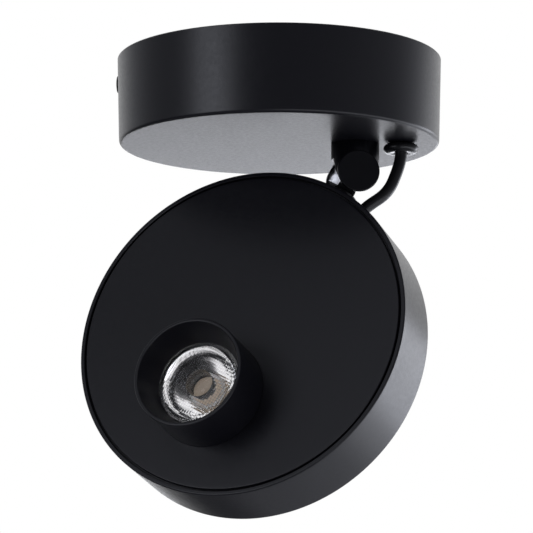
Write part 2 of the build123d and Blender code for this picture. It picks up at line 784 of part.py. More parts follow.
# Upper knuckle: a turned collar with a round front ear milled from the same bar, and a threaded spigot that
# turns in the canopy. The ear's flat front stands a little proud of the collar.
with BuildPart() as upper_knuckle:
    with BuildSketch(Plane.XZ.offset(ear_gap / 2)):
        Circle(upper_ear_radius)
        with Locations((0, collar_z + 1)):
            Rectangle(2 * upper_ear_root, 2)
        make_hull()
    extrude(amount=knuckle_radius)
    with BuildSketch(Plane.XY.offset(collar_z)):
        Circle(knuckle_radius)
    extrude(amount=pivot_drop - collar_z)
    with BuildSketch(Plane.XY.offset(-upper_ear_radius)):
        Circle(knuckle_radius)
    extrude(amount=upper_ear_radius + pivot_drop, mode=Mode.INTERSECT)
    with BuildSketch(Plane.XZ.offset(ear_gap / 2)):
        Circle(upper_ear_radius)
    extrude(amount=upper_ear_front - ear_gap / 2)
    # saddle behind that clears the lower ear
    with BuildSketch(Plane.XZ.offset(ear_gap / 2)):
        Circle(saddle_radius)
    extrude(amount=-knuckle_diameter, mode=Mode.SUBTRACT)
    ear_front = upper_knuckle.faces().filter_by(Axis.Y).sort_by(Axis.Y)[0]
    fillet(ear_front.edges(), knuckle_edge)
    with BuildSketch(Plane.XY.offset(pivot_drop)):
        Circle(spigot_diameter / 2)
    extrude(amount=spigot_length)
    chamfer(upper_knuckle.faces().sort_by(Axis.Z)[-1].edges(), spigot_chamfer)
    with BuildSketch(Plane.XZ.offset(ear_gap / 2)):
        Circle(pivot_screw_diameter / 2)
    extrude(amount=pivot_screw_grip, mode=Mode.SUBTRACT)
write(upper_knuckle, "upper_knuckle", upper_frame)

# Pivot screw: an M4 cap screw from behind, through the lower ear and into the upper one.
screw_seat_y = ear_gap / 2 + ear_thickness + pivot_washer_thickness
pivot_screw_form = round_head_screw(
    (pivot_screw_diameter, pivot_head_diameter, pivot_head_height),
    screw_seat_y + ear_gap / 2 + pivot_screw_grip * 0.9,
)
with BuildPart() as pivot_screw:
    with Locations(Location((0, screw_seat_y, 0), (-90, 0, 0))):
        add(pivot_screw_form)
write(pivot_screw, "pivot_screw", upper_frame)

pivot_hole = pivot_screw_diameter / 2 + running_clearance
pivot_washer_form = washer(pivot_hole, pivot_head_diameter / 2 + washer_margin, 0, pivot_washer_thickness)
with BuildPart() as pivot_washer:
    with Locations(Location((0, screw_seat_y, 0), (90, 0, 0))):
        add(pivot_washer_form)
write(pivot_washer, "pivot_washer", upper_frame)

# Friction disc: a thin ring between the ears that holds the head's tilt.
friction_form = washer(pivot_hole, lower_ear_radius - ear_gap, 0, friction_disc_thickness)
with BuildPart() as friction_disc:
    with Locations(Location((0, -ear_gap / 2 + friction_disc_thickness, 0), (90, 0, 0))):
        add(friction_form)
write(friction_disc, "friction_disc", upper_frame)

# ================================================================ lower knuckle body

# Lower knuckle: the rear ear, a round shoulder and the threaded stem on which the head swivels. The ear
# keeps the bar's width on the heel's side, and is cut back to a narrow toe on the lead's side.
stem_washer_z = -pivot_gap + stem_washer_shown
with BuildPart() as lower_knuckle:
    with BuildSketch(Plane.XZ.offset(-ear_gap / 2)):
        Circle(heel_radius)
        Rectangle(heel_radius, heel_radius, align=(Align.MAX, Align.MIN), mode=Mode.INTERSECT)
        with BuildLine():
            Polyline(
                (-lower_ear_heel_foot, -shoulder_top),
                (lower_ear_toe, -shoulder_top),
                (lower_ear_toe, 0),
                (-heel_radius, 0),
                (-heel_radius, -lower_ear_heel),
            )
            ThreePointArc(
                (-heel_radius, -lower_ear_heel),
                (-heel_radius + heel_round, -(lower_ear_heel + shoulder_top) / 2),
                (-lower_ear_heel_foot, -shoulder_top),
            )
        make_face()
        Circle(lower_ear_radius)
    extrude(amount=-ear_thickness)
    with BuildSketch(Plane.XY.offset(stem_washer_z)):
        Circle(knuckle_radius)
    extrude(amount=heel_radius - stem_washer_z, mode=Mode.INTERSECT)
    ear_face = lower_knuckle.faces().filter_by(Axis.Y).sort_by(Axis.Y)[0]
    bevel_edges = ear_face.edges().filter_by(lambda edge: edge.center().X < -lower_ear_radius)
    chamfer(bevel_edges, lower_ear_bevel)
    with BuildSketch(Plane.XY.offset(stem_washer_z)):
        Circle(shoulder_radius)
    extrude(amount=-shoulder_top - stem_washer_z)
    with BuildSketch(Plane.XY.offset(stem_washer_z)):
        Circle(stem_diameter / 2)
    extrude(amount=-(stem_washer_shown + stem_inside))
    with BuildSketch(Plane.XZ):
        Circle(pivot_hole)
    extrude(amount=-knuckle_diameter, mode=Mode.SUBTRACT)
write(lower_knuckle, "lower_knuckle", lower_frame)

# Stem washer: a bright ring between the shoulder and a flat spot on the head's rim.
stem_hole = stem_diameter / 2 + running_clearance
with BuildPart() as stem_washer:
    add(
        washer(
            stem_hole,
            stem_washer_radius,
            -pivot_gap - stem_seat_depth,
            stem_washer_shown + stem_seat_depth,
        )
    )
write(stem_washer, "stem_washer", lower_frame)

stem_pad_z = -pivot_gap - head_radius + stem_pad_y
with BuildPart() as stem_spring_washer:
    add(
        spring_washer(
            stem_hole,
            stem_nut_flats / 2,
            stem_pad_z - stem_spring_thickness,
            stem_spring_thickness,
        )
    )
write(stem_spring_washer, "stem_spring_washer", swivel_frame)

with BuildPart() as stem_nut:
    add(nut(stem_hole, stem_nut_flats, stem_pad_z - stem_spring_thickness - stem_nut_height, stem_nut_height))
write(stem_nut, "stem_nut", swivel_frame)

# ================================================================ head body

# Head housing: a turned aluminium cup with a thin lip round the front plate. Its rim has flat spots for the
# stem's washer and the lead's bush, and its back is drilled for the countersunk screws.
stem_hole_sketch_plane = Plane.XZ.offset(-head_radius - 1)
lead_hole_plane = Plane(
    origin=((head_radius + 1) * sin(turn), (head_radius + 1) * cos(turn), 0),
    x_dir=(0, 0, 1),
    z_dir=(-sin(turn), -cos(turn), 0),
)
sink_screw_places = [(-heat_sink_core_radius * 0.55, 0), (heat_sink_core_radius * 0.55, 0)]
cover_screw = countersunk_screw(m3_countersunk, head_back + cover_screw_grip)
cover_screw_hole = countersunk_form(m3_countersunk, head_back + 1, seat_clearance)
sink_screw = countersunk_screw(m3_countersunk, head_back + sink_screw_grip)
with BuildPart() as head_housing:
    with BuildSketch(Plane.XZ):
        with BuildLine():
            Polyline(
                (0, -front_z),
                (head_radius, -front_z),
                (head_radius, front_z),
                (head_radius - lip_width, front_z),
                (head_radius - lip_width, plate_back_z),
                (head_radius - head_wall, plate_back_z),
                (head_radius - head_wall, back_inner_z),
                (0, back_inner_z),
                close=True,
            )
        make_face()
    revolve(axis=Axis.Z)
    rounds = head_housing.edges().filter_by(GeomType.CIRCLE)
    fillet(rounds.group_by(Axis.Z)[0], head_edge)
    fillet(rounds.group_by(Axis.Z)[-1].sort_by(SortBy.RADIUS)[-1], head_edge * 0.7)
    with BuildSketch(Plane.XY.offset(-stem_pad_half_depth)):
        with Locations((0, stem_pad_y)):
            Rectangle(
                2 * stem_pad_half_width,
                stem_pad_thickness + head_wall / 2,
                align=(Align.CENTER, Align.MIN),
            )
    extrude(amount=2 * stem_pad_half_depth)
    with BuildSketch(stem_hole_sketch_plane):
        Circle(stem_washer_radius + seat_clearance)
    extrude(amount=1 + stem_seat_depth, mode=Mode.SUBTRACT)
    with BuildSketch(stem_hole_sketch_plane):
        Circle(stem_hole)
    extrude(amount=1 + head_radius - stem_pad_y + 1, mode=Mode.SUBTRACT)
    with BuildSketch(lead_hole_plane):
        Circle(bush_flange_radius + seat_clearance)
    extrude(amount=1 + bush_seat_depth, mode=Mode.SUBTRACT)
    with BuildSketch(lead_hole_plane):
        Circle(bush_neck_radius + running_clearance)
    extrude(amount=1 + head_wall + 2, mode=Mode.SUBTRACT)
    with PolarLocations(cover_post_circle, 3, start_angle=30):
        with Locations((0, 0, -front_z)):
            add(cover_screw_hole, mode=Mode.SUBTRACT)
    with Locations(*[(snoot_x + x, snoot_y + y, -front_z) for x, y in sink_screw_places]):
        add(cover_screw_hole, mode=Mode.SUBTRACT)
write(head_housing, "head_housing", head_frame)

# Front plate: a flat disc in the lip, with three posts for the cover screws and a hole for the snoot.
post_height = plate_back_z - back_inner_z - seat_clearance
with BuildPart() as front_plate:
    with BuildSketch(Plane.XY.offset(plate_back_z)):
        Circle(plate_radius)
        with Locations((snoot_x, snoot_y)):
            Circle(snoot_radius + running_clearance, mode=Mode.SUBTRACT)
    extrude(amount=plate_thickness)
    front_rims = front_plate.faces().sort_by(Axis.Z)[-1].edges().sort_by(SortBy.RADIUS)
    fillet(front_rims[-1], plate_edge)
    with BuildSketch(Plane.XY.offset(plate_back_z)):
        with PolarLocations(cover_post_circle, 3, start_angle=30):
            Circle(cover_post_diameter / 2)
    extrude(amount=-post_height)
    with BuildSketch(Plane.XY.offset(plate_back_z - post_height)):
        with PolarLocations(cover_post_circle, 3, start_angle=30):
            Circle(m3_countersunk[0] / 2 + running_clearance)
    extrude(amount=cover_screw_grip + 1, mode=Mode.SUBTRACT)
    with BuildSketch(Plane.XY.offset(plate_back_z)):
        with Locations((snoot_x, snoot_y)):
            with PolarLocations(snoot_screw_circle, 3, start_angle=30):
                Circle(m2[0] / 2 + running_clearance)
    extrude(amount=snoot_screw_grip, mode=Mode.SUBTRACT)
write(front_plate, "front_plate", head_frame)

# Cover screws: three countersunk screws through the back into the plate's posts.
with BuildPart() as cover_screws:
    with PolarLocations(cover_post_circle, 3, start_angle=30):
        with Locations((0, 0, -front_z)):
            add(cover_screw)
write(cover_screws, "cover_screws", head_frame)

# Snoot: a turned tube with a bore that widens towards its rim. A ledge inside holds the lens, and a flange
# behind the plate takes three small screws. A notch in the flange lets the wires in.
seat_radius = lens_radius + seat_clearance
with BuildPart() as snoot:
    with BuildSketch(Plane.XZ):
        with BuildLine():
            Polyline(
                (snoot_radius, snoot_mouth_z),
                (snoot_radius, plate_back_z),
                (snoot_flange_radius, plate_back_z),
                (snoot_flange_radius, snoot_flange_z),
                (seat_radius, snoot_flange_z),
                (seat_radius, lens_z),
                (lens_radius - lens_ledge, lens_z),
                (snoot_radius - snoot_lip, snoot_mouth_z),
                close=True,
            )
        make_face()
    revolve(axis=Axis.Z)
    rim_edges = snoot.faces().sort_by(Axis.Z)[-1].edges()
    fillet(rim_edges, snoot_lip * 0.3)
    with BuildSketch(Plane.XY.offset(plate_back_z)):
        Rectangle(wire_notch_width, snoot_flange_radius + 1, align=(Align.CENTER, Align.MIN))
    extrude(amount=-2 * snoot_flange, mode=Mode.SUBTRACT)
    with BuildSketch(Plane.XY.offset(plate_back_z)):
        with PolarLocations(snoot_screw_circle, 3, start_angle=30):
            Circle(m2[0] / 2 + running_clearance)
    extrude(amount=-2 * snoot_flange, mode=Mode.SUBTRACT)
write(snoot, "snoot", optic_frame)

snoot_screw = round_head_screw(m2, snoot_flange + snoot_screw_grip * 0.9)
with BuildPart() as snoot_screws:
    with PolarLocations(snoot_screw_circle, 3, start_angle=30):
        with Locations(Location((0, 0, snoot_flange_z), (180, 0, 0))):
            add(snoot_screw)
write(snoot_screws, "snoot_screws", optic_frame)

# Lens: a moulded collimator with a flat front, a well in the middle and a curved cone that stands over the
# light source. Its holder follows the same curve and stands on the board.
lens_foot_z = lens_z - lens_depth
cone_top_radius = lens_radius - lens_rim
cone_top_z = lens_z - lens_rim
cone_middle = (
    (cone_top_radius + lens_foot_radius) / 2 + lens_cone_bulge[0],
    (cone_top_z + lens_foot_z) / 2 - lens_cone_bulge[1],
)
with BuildPart() as lens:
    with BuildSketch(Plane.XZ):
        with BuildLine():
            Polyline(
                (0, lens_z - lens_well_depth),
                (lens_well_diameter / 2 - lens_well_taper, lens_z - lens_well_depth),
                (lens_well_diameter / 2, lens_z),
                (lens_radius, lens_z),
                (lens_radius, cone_top_z),
                (cone_top_radius, cone_top_z),
            )
            ThreePointArc((cone_top_radius, cone_top_z), cone_middle, (lens_foot_radius, lens_foot_z))
            Polyline(
                (lens_foot_radius, lens_foot_z),
                (emitter_diameter / 2 + lens_foot_rim, lens_foot_z),
                (emitter_diameter / 2 + lens_foot_rim, lens_foot_z + lens_cavity_depth),
                (0, lens_foot_z + lens_cavity_depth),
                (0, lens_z - lens_well_depth),
            )
        make_face()
    revolve(axis=Axis.Z)
write(lens, "lens", optic_frame)

holder_inside = 2 * seat_clearance
holder_outside = holder_inside + holder_wall
holder_top_z = cone_top_z - seat_clearance
with BuildPart() as lens_holder:
    with BuildSketch(Plane.XZ):
        with BuildLine():
            ThreePointArc(
                (cone_top_radius + holder_inside, holder_top_z),
                (cone_middle[0] + holder_inside, cone_middle[1]),
                (lens_foot_radius + holder_inside, lens_foot_z),
            )
            Polyline(
                (lens_foot_radius + holder_inside, lens_foot_z),
                (lens_foot_radius + holder_inside, board_z),
                (lens_foot_radius + holder_outside, board_z),
                (lens_foot_radius + holder_outside, lens_foot_z),
            )
            ThreePointArc(
                (lens_foot_radius + holder_outside, lens_foot_z),
                (cone_middle[0] + holder_outside, cone_middle[1]),
                (cone_top_radius + holder_outside - seat_clearance, holder_top_z),
            )
            Line(
                (cone_top_radius + holder_outside - seat_clearance, holder_top_z),
                (cone_top_radius + holder_inside, holder_top_z),
            )
        make_face()
    revolve(axis=Axis.Z)
write(lens_holder, "lens_holder", optic_frame)

# Light source: a round emitter on a small square board, with a thermal pad between it and the heat sink.
board_screw_places = [(-board_hole, board_hole), (board_hole, -board_hole)]
with BuildPart() as led_board:
    with BuildSketch(Plane.XY.offset(thermal_pad_z)):
        RectangleRounded(board_size, board_size, board_round)
        with Locations(*board_screw_places):
            Circle(m25[0] / 2 + seat_clearance, mode=Mode.SUBTRACT)
    extrude(amount=board_thickness)
write(led_board, "led_board", optic_frame)

with BuildPart() as led_emitter:
    with BuildSketch(Plane.XY.offset(board_z)):
        Circle(emitter_diameter / 2)
    extrude(amount=emitter_height)
write(led_emitter, "led_emitter", optic_frame)

with BuildPart() as thermal_pad:
    with BuildSketch(Plane.XY.offset(heat_sink_z)):
        RectangleRounded(board_size * 0.62, board_size * 0.62, board_round)
    extrude(amount=thermal_pad_thickness)
write(thermal_pad, "thermal_pad", optic_frame)

# Heat sink: a turned aluminium core with a mounting disc for the board and radial fins on a round base.
fin_base_z = back_inner_z + heat_sink_base
disc_z = heat_sink_z - heat_sink_top
fin_top_z = disc_z - fin_drop
with BuildPart() as heat_sink:
    with BuildSketch(Plane.XY.offset(back_inner_z)):
        Circle(heat_sink_radius)
    extrude(amount=heat_sink_base)
    with BuildSketch(Plane.XY.offset(fin_base_z)):
        with PolarLocations((heat_sink_core_radius + heat_sink_radius) / 2 - fin_spare, fin_count):
            Rectangle(heat_sink_radius - heat_sink_core_radius + 1, fin_thickness)
        Circle(heat_sink_radius, mode=Mode.INTERSECT)
    extrude(amount=fin_top_z - fin_base_z)
    with BuildSketch(Plane.XZ):
        with BuildLine():
            Polyline(
                (heat_sink_radius - sink_taper[0], fin_top_z + fin_cut_reach),
                (heat_sink_radius - sink_taper[0], fin_top_z),
                (heat_sink_radius, fin_base_z + sink_taper[1]),
                (heat_sink_radius + fin_cut_reach, fin_base_z + sink_taper[1]),
                (heat_sink_radius + 1, fin_top_z + 1),
                close=True,
            )
        make_face()
    revolve(axis=Axis.Z, mode=Mode.SUBTRACT)
    with BuildSketch(Plane.XY.offset(fin_base_z)):
        Circle(heat_sink_core_radius)
    extrude(amount=disc_z - fin_base_z)
    with BuildSketch(Plane.XY.offset(disc_z)):
        Circle(heat_sink_top_radius)
    extrude(amount=heat_sink_top)
    with BuildSketch(Plane.XY.offset(heat_sink_z)):
        with Locations(*board_screw_places):
            Circle(m25[0] / 2 + running_clearance)
    extrude(amount=-heat_sink_top, mode=Mode.SUBTRACT)
    with BuildSketch(Plane.XY.offset(back_inner_z)):
        with Locations(*sink_screw_places):
            Circle(m3_countersunk[0] / 2 + running_clearance)
    extrude(amount=sink_screw_grip + 1, mode=Mode.SUBTRACT)
write(heat_sink, "heat_sink", optic_frame)

board_screw = round_head_screw(m25, board_thickness + thermal_pad_thickness + heat_sink_top)
with BuildPart() as led_board_screws:
    with Locations(*[(x, y, board_z) for x, y in board_screw_places]):
        add(board_screw)
write(led_board_screws, "led_board_screws", optic_frame)

with BuildPart() as heat_sink_screws:
    with Locations(*[(x, y, -front_z) for x, y in sink_screw_places]):
        add(sink_screw)
write(heat_sink_screws, "heat_sink_screws", optic_frame)

# Bush: a soft ring in the rim that the lead passes through.
bush_frame = head_frame * Location((0, 0, 0), (0, 0, -lead_exit_turn)) * Location((0, 0, 0), (-90, 0, 0))
bush_seat = head_radius - bush_seat_depth
with BuildPart() as head_bush:
    with BuildSketch(Plane.XZ):
        with BuildLine():
            Polyline(
                (lead_radius + lead_clearance, bush_seat + bush_flange),
                (bush_flange_radius, bush_seat + bush_flange),
                (bush_flange_radius, bush_seat),
                (bush_neck_radius, bush_seat),
                (bush_neck_radius, head_radius - head_wall - bush_grip),
                (lead_radius + lead_clearance, head_radius - head_wall - bush_grip),
                close=True,
            )
        make_face()
    revolve(axis=Axis.Z)
    fillet(head_bush.faces().sort_by(Axis.Z)[-1].edges().sort_by(SortBy.RADIUS)[-1], bush_flange * 0.5)
write(head_bush, "head_bush", bush_frame)

# Wires in the head: from the lead's end through the notch to the edge of the board.
board_edge_z = thermal_pad_z + board_thickness / 2
lead_end = head_radius - lead_inside_head
with BuildPart() as led_wires:
    add(
        tubes(
            [
                (
                    (lead_end * sin(turn) + side * cos(turn), lead_end * cos(turn) - side * sin(turn), 0),
                    (
                        (lead_end - led_wire_runs[0]) * sin(turn) + side,
                        (lead_end - led_wire_runs[0]) * cos(turn),
                        0,
                    ),
                    (snoot_x + side, snoot_y + snoot_flange_radius + led_wire_runs[1], board_edge_z),
                    (snoot_x + side, snoot_y + board_size / 2, board_edge_z),
                )
                for side in (-led_wire_spacing, led_wire_spacing)
            ],
            led_wire_diameter / 2,
            led_wire_bend,
        )
    )
write(led_wires, "led_wires", head_frame)
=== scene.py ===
import json
import bmesh
import bpy
from math import cos, pi, radians, sin
from mathutils import Matrix, Vector

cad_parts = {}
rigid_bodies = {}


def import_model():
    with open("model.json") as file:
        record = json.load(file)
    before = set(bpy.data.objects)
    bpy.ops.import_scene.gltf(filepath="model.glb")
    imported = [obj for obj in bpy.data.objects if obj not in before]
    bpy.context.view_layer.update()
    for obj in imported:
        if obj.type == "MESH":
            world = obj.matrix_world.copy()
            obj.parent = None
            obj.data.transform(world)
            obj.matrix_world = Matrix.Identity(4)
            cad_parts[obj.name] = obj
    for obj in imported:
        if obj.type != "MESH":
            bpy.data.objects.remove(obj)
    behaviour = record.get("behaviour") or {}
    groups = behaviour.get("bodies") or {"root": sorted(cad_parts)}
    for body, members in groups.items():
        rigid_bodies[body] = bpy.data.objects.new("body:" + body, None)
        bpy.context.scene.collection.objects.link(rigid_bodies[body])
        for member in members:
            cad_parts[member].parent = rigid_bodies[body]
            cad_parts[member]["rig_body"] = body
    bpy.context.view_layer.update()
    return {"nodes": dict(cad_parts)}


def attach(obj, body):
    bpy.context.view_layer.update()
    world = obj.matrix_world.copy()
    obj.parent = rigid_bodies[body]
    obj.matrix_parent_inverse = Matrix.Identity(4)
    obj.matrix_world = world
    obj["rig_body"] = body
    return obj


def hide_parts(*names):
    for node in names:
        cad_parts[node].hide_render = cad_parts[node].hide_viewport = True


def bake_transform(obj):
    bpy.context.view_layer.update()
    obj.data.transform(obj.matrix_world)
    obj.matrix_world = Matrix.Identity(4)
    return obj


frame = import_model()
nodes = frame["nodes"]

# ---------------------------------------------------------------- camera, room and lamps
# The lamp hangs from a ceiling and the camera looks slightly up at it with a long lens, from in front.
scene = bpy.context.scene
camera = bpy.data.objects.new("camera", bpy.data.cameras.new("camera"))
scene.collection.objects.link(camera)
camera.data.sensor_width = 36
camera.data.lens = 178.87
camera.data.clip_start = 0.01
camera.location = (0.066606, -0.798398, -0.187793)
camera_turn, camera_lift, camera_roll = radians(5.039), radians(98.763), radians(0.148)
camera.rotation_euler = (
    Matrix.Rotation(camera_turn, 3, "Z")
    @ Matrix.Rotation(camera_lift, 3, "X")
    @ Matrix.Rotation(camera_roll, 3, "Z")
).to_euler()
scene.camera = camera
scene.view_settings.view_transform = "Standard"

# The room: white behind the lamp for the camera and for glass, a white sweep that gloss shows, and a dim studio
# for the rest. Its brightness was tuned to the photo's shading.
room = bpy.data.worlds.new("room")
scene.world = room
room.use_nodes = True
tree = room.node_tree
tree.nodes.clear()
sky = tree.nodes.new("ShaderNodeBackground")
backdrop = tree.nodes.new("ShaderNodeBackground")
backdrop.inputs["Color"].default_value = (1, 1, 1, 1)
direction = tree.nodes.new("ShaderNodeTexCoord")
axes = tree.nodes.new("ShaderNodeSeparateXYZ")
tree.links.new(direction.outputs["Generated"], axes.inputs[0])


def room_ramp(value, stops, tint=(0.95, 0.975, 1.06)):
    """A ramp of the room over one direction, given as (place, brightness) pairs. Cool unless it is a mask."""
    ramp = tree.nodes.new("ShaderNodeValToRGB")
    ramp.color_ramp.interpolation = "EASE"
    ends = ramp.color_ramp.elements
    while len(ends) < len(stops):
        ends.new(0.5)
    for end, (place, light) in zip(ends, stops):
        end.position = place
        end.color = (light * tint[0], light * tint[1], light * tint[2], 1)
    tree.links.new(value, ramp.inputs[0])
    return ramp.outputs["Color"]


def room_range(value, low, high):
    """Maps one direction from low to high onto 0 to 1."""
    scale = tree.nodes.new("ShaderNodeMapRange")
    scale.inputs["From Min"].default_value = low
    scale.inputs["From Max"].default_value = high
    tree.links.new(value, scale.inputs["Value"])
    return scale.outputs["Result"]


def room_math(how, first, second):
    """One sum on two values of the room."""
    step = tree.nodes.new("ShaderNodeMath")
    step.operation = how
    tree.links.new(first, step.inputs[0])
    tree.links.new(second, step.inputs[1])
    return step.outputs[0]


to_back = room_range(axes.outputs["Y"], -1, 1)
to_right = room_range(axes.outputs["X"], -1, 1)
to_ceiling = room_range(axes.outputs["Z"], -1, 1)
above = room_ramp(to_back, [(0.0, 0.08), (0.5, 0.21), (0.8, 0.46), (1.0, 1.0)])
below = room_ramp(to_right, [(0.0, 0.05), (0.43, 0.05), (0.52, 0.45), (0.65, 1.3)])
horizon = room_ramp(to_ceiling, [(0.365, 0.0), (0.41, 1.0)], (1, 1, 1))
dim = tree.nodes.new("ShaderNodeMix")
dim.data_type = "RGBA"
tree.links.new(horizon, dim.inputs["Factor"])
tree.links.new(below, dim.inputs["A"])
tree.links.new(above, dim.inputs["B"])
tree.links.new(dim.outputs["Result"], sky.inputs["Color"])
rays = tree.nodes.new("ShaderNodeLightPath")
sweep = room_math("MULTIPLY", horizon, room_ramp(to_back, [(0.75, 0.0), (0.88, 0.6), (1.0, 1.0)], (1, 1, 1)))
in_gloss = room_math("MULTIPLY", rays.outputs["Is Glossy Ray"], sweep)
seen = room_math("MAXIMUM", rays.outputs["Is Camera Ray"], rays.outputs["Is Transmission Ray"])
room_light = tree.nodes.new("ShaderNodeMixShader")
tree.links.new(room_math("MAXIMUM", seen, in_gloss), room_light.inputs["Fac"])
tree.links.new(sky.outputs[0], room_light.inputs[1])
tree.links.new(backdrop.outputs[0], room_light.inputs[2])
world_out = tree.nodes.new("ShaderNodeOutputWorld")
tree.links.new(room_light.outputs[0], world_out.inputs["Surface"])


def softbox(name, place, aim, size, strength):
    """A rectangular lamp of this radiance that the camera doesn't see."""
    light = bpy.data.lights.new(name, "AREA")
    light.shape = "RECTANGLE"
    light.size, light.size_y = size
    light.energy = strength * size[0] * size[1] * pi
    light.color = (0.94, 0.97, 1.07)
    lamp = bpy.data.objects.new(name, light)
    scene.collection.objects.link(lamp)
    lamp.location = place
    lamp.rotation_euler = (Vector(aim) - Vector(place)).to_track_quat("-Z", "Y").to_euler()
    lamp.visible_camera = False
    return lamp


middle = (0.0, 0.0, -0.08)
softbox("right_softbox", (0.93, 0.87, -0.22), middle, (0.5, 0.65), 3.0)
softbox("left_softbox", (-0.86, -0.95, 0.10), middle, (0.55, 0.6), 2.2)
softbox("back_softbox", (-0.02, 1.05, -0.12), middle, (0.5, 0.22), 2.2)
softbox("front_softbox", (-0.5, -1.2, 0.9), middle, (0.8, 0.5), 0.5)

# A pale floor well below the lamp, out of the camera's frame and below views from underneath.
floor_mesh = bmesh.new()
floor_half, floor_z = 1.7, -1.6
floor_place = Matrix.Translation((0, 0, floor_z))
bmesh.ops.create_grid(floor_mesh, x_segments=1, y_segments=1, size=floor_half, matrix=floor_place)
floor_data = bpy.data.meshes.new("floor")
floor_mesh.to_mesh(floor_data)
floor_mesh.free()
floor = bpy.data.objects.new("floor", floor_data)
scene.collection.objects.link(floor)
floor_paint = bpy.data.materials.new("floor_paint")
floor_paint.use_nodes = True
floor_paint.node_tree.nodes["Principled BSDF"].inputs["Base Color"].default_value = (0.55, 0.55, 0.56, 1)
floor_paint.node_tree.nodes["Principled BSDF"].inputs["Roughness"].default_value = 0.8
floor_data.materials.append(floor_paint)

# ---------------------------------------------------------------- ceiling bracket
# A strip of pressed steel, zinc plated, screwed to the ceiling through its two slots. One end is bent down
# and tapped for the side screw, the other hooks under the canopy's lug.


def blend_range(tree, value, low, high, to_low=0.0, to_high=1.0):
    """Clamped straight line from low..high to to_low..to_high."""
    line = tree.nodes.new("ShaderNodeMapRange")
    for name, number in (("From Min", low), ("From Max", high), ("To Min", to_low), ("To Max", to_high)):
        line.inputs[name].default_value = number
    tree.links.new(value, line.inputs["Value"])
    return line.outputs["Result"]


def group(name, inputs, outputs):
    """An empty shader group with these named sockets: (name, kind, default)."""
    made = bpy.data.node_groups.new(name, "ShaderNodeTree")
    for label, kind, value in inputs:
        socket = made.interface.new_socket(label, in_out="INPUT", socket_type=f"NodeSocket{kind}")
        socket.default_value = value
    for label, kind in outputs:
        made.interface.new_socket(label, in_out="OUTPUT", socket_type=f"NodeSocket{kind}")
    return made, made.nodes.new("NodeGroupInput"), made.nodes.new("NodeGroupOutput")


# Skin: the mottle and fine pebble of a sprayed, plated or moulded surface, with slow changes of gloss.
skin, given, put = group(
    "skin",
    [
        ("Light", "Color", (0.5, 0.5, 0.5, 1)),
        ("Dark", "Color", (0.4, 0.4, 0.4, 1)),
        ("Pebble", "Float", 2000.0),
        ("Mottle", "Float", 120.0),
        ("Gloss low", "Float", 0.3),
        ("Gloss high", "Float", 0.5),
    ],
    [("Color", "Color"), ("Roughness", "Float"), ("Height", "Float")],
)
place = skin.nodes.new("ShaderNodeTexCoord")
for label, target in (("Mottle", "mottle"), ("Pebble", "pebble")):
    noise = skin.nodes.new("ShaderNodeTexNoise")
    noise.name = target
    noise.inputs["Detail"].default_value = 3.0
    skin.links.new(place.outputs["Object"], noise.inputs["Vector"])
    skin.links.new(given.outputs[label], noise.inputs["Scale"])
grains = skin.nodes.new("ShaderNodeMath")
grains.operation = "MULTIPLY_ADD"
grains.inputs[1].default_value = 0.45
skin.links.new(skin.nodes["pebble"].outputs["Fac"], grains.inputs[0])
skin.links.new(skin.nodes["mottle"].outputs["Fac"], grains.inputs[2])
tone = skin.nodes.new("ShaderNodeMix")
tone.data_type = "RGBA"
skin.links.new(blend_range(skin, grains.outputs[0], 0.45, 1.0), tone.inputs["Factor"])
skin.links.new(given.outputs["Light"], tone.inputs["A"])
skin.links.new(given.outputs["Dark"], tone.inputs["B"])
gloss = skin.nodes.new("ShaderNodeMapRange")
gloss.inputs["From Min"].default_value = 0.35
gloss.inputs["From Max"].default_value = 0.65
skin.links.new(skin.nodes["mottle"].outputs["Fac"], gloss.inputs["Value"])
skin.links.new(given.outputs["Gloss low"], gloss.inputs["To Min"])
skin.links.new(given.outputs["Gloss high"], gloss.inputs["To Max"])
skin.links.new(tone.outputs["Result"], put.inputs["Color"])
skin.links.new(gloss.outputs["Result"], put.inputs["Roughness"])
skin.links.new(skin.nodes["pebble"].outputs["Fac"], put.inputs["Height"])


def finish(name, light, dark, pebble, mottle, gloss, depth, metal=0.0, **plain):
    """A material with the skin group. depth is the pebble's height in metres."""
    made = bpy.data.materials.new(name)
    made.use_nodes = True
    tree = made.node_tree
    shader = tree.nodes["Principled BSDF"]
    effect = tree.nodes.new("ShaderNodeGroup")
    effect.node_tree = skin
    for label, value in (
        ("Light", (*light, 1)),
        ("Dark", (*dark, 1)),
        ("Pebble", pebble),
        ("Mottle", mottle),
        ("Gloss low", gloss[0]),
        ("Gloss high", gloss[1]),
    ):
        effect.inputs[label].default_value = value
    tree.links.new(effect.outputs["Color"], shader.inputs["Base Color"])
    tree.links.new(effect.outputs["Roughness"], shader.inputs["Roughness"])
    shader.inputs["Metallic"].default_value = metal
    for label, value in plain.items():
        shader.inputs[label.replace("_", " ")].default_value = value
    bump = tree.nodes.new("ShaderNodeBump")
    bump.inputs["Strength"].default_value = 1.0
    bump.inputs["Distance"].default_value = depth
    tree.links.new(effect.outputs["Height"], bump.inputs["Height"])
    tree.links.new(bump.outputs["Normal"], shader.inputs["Normal"])
    return made


def paint(node, material):
    """Gives a CAD node its finish."""
    nodes[node].data.materials.clear()
    nodes[node].data.materials.append(material)


zinc = finish("zinc_steel", (0.62, 0.63, 0.66), (0.46, 0.47, 0.50), 1500, 220, (0.25, 0.42), 0.00001, 1.0)
paint("ceiling_bracket", zinc)

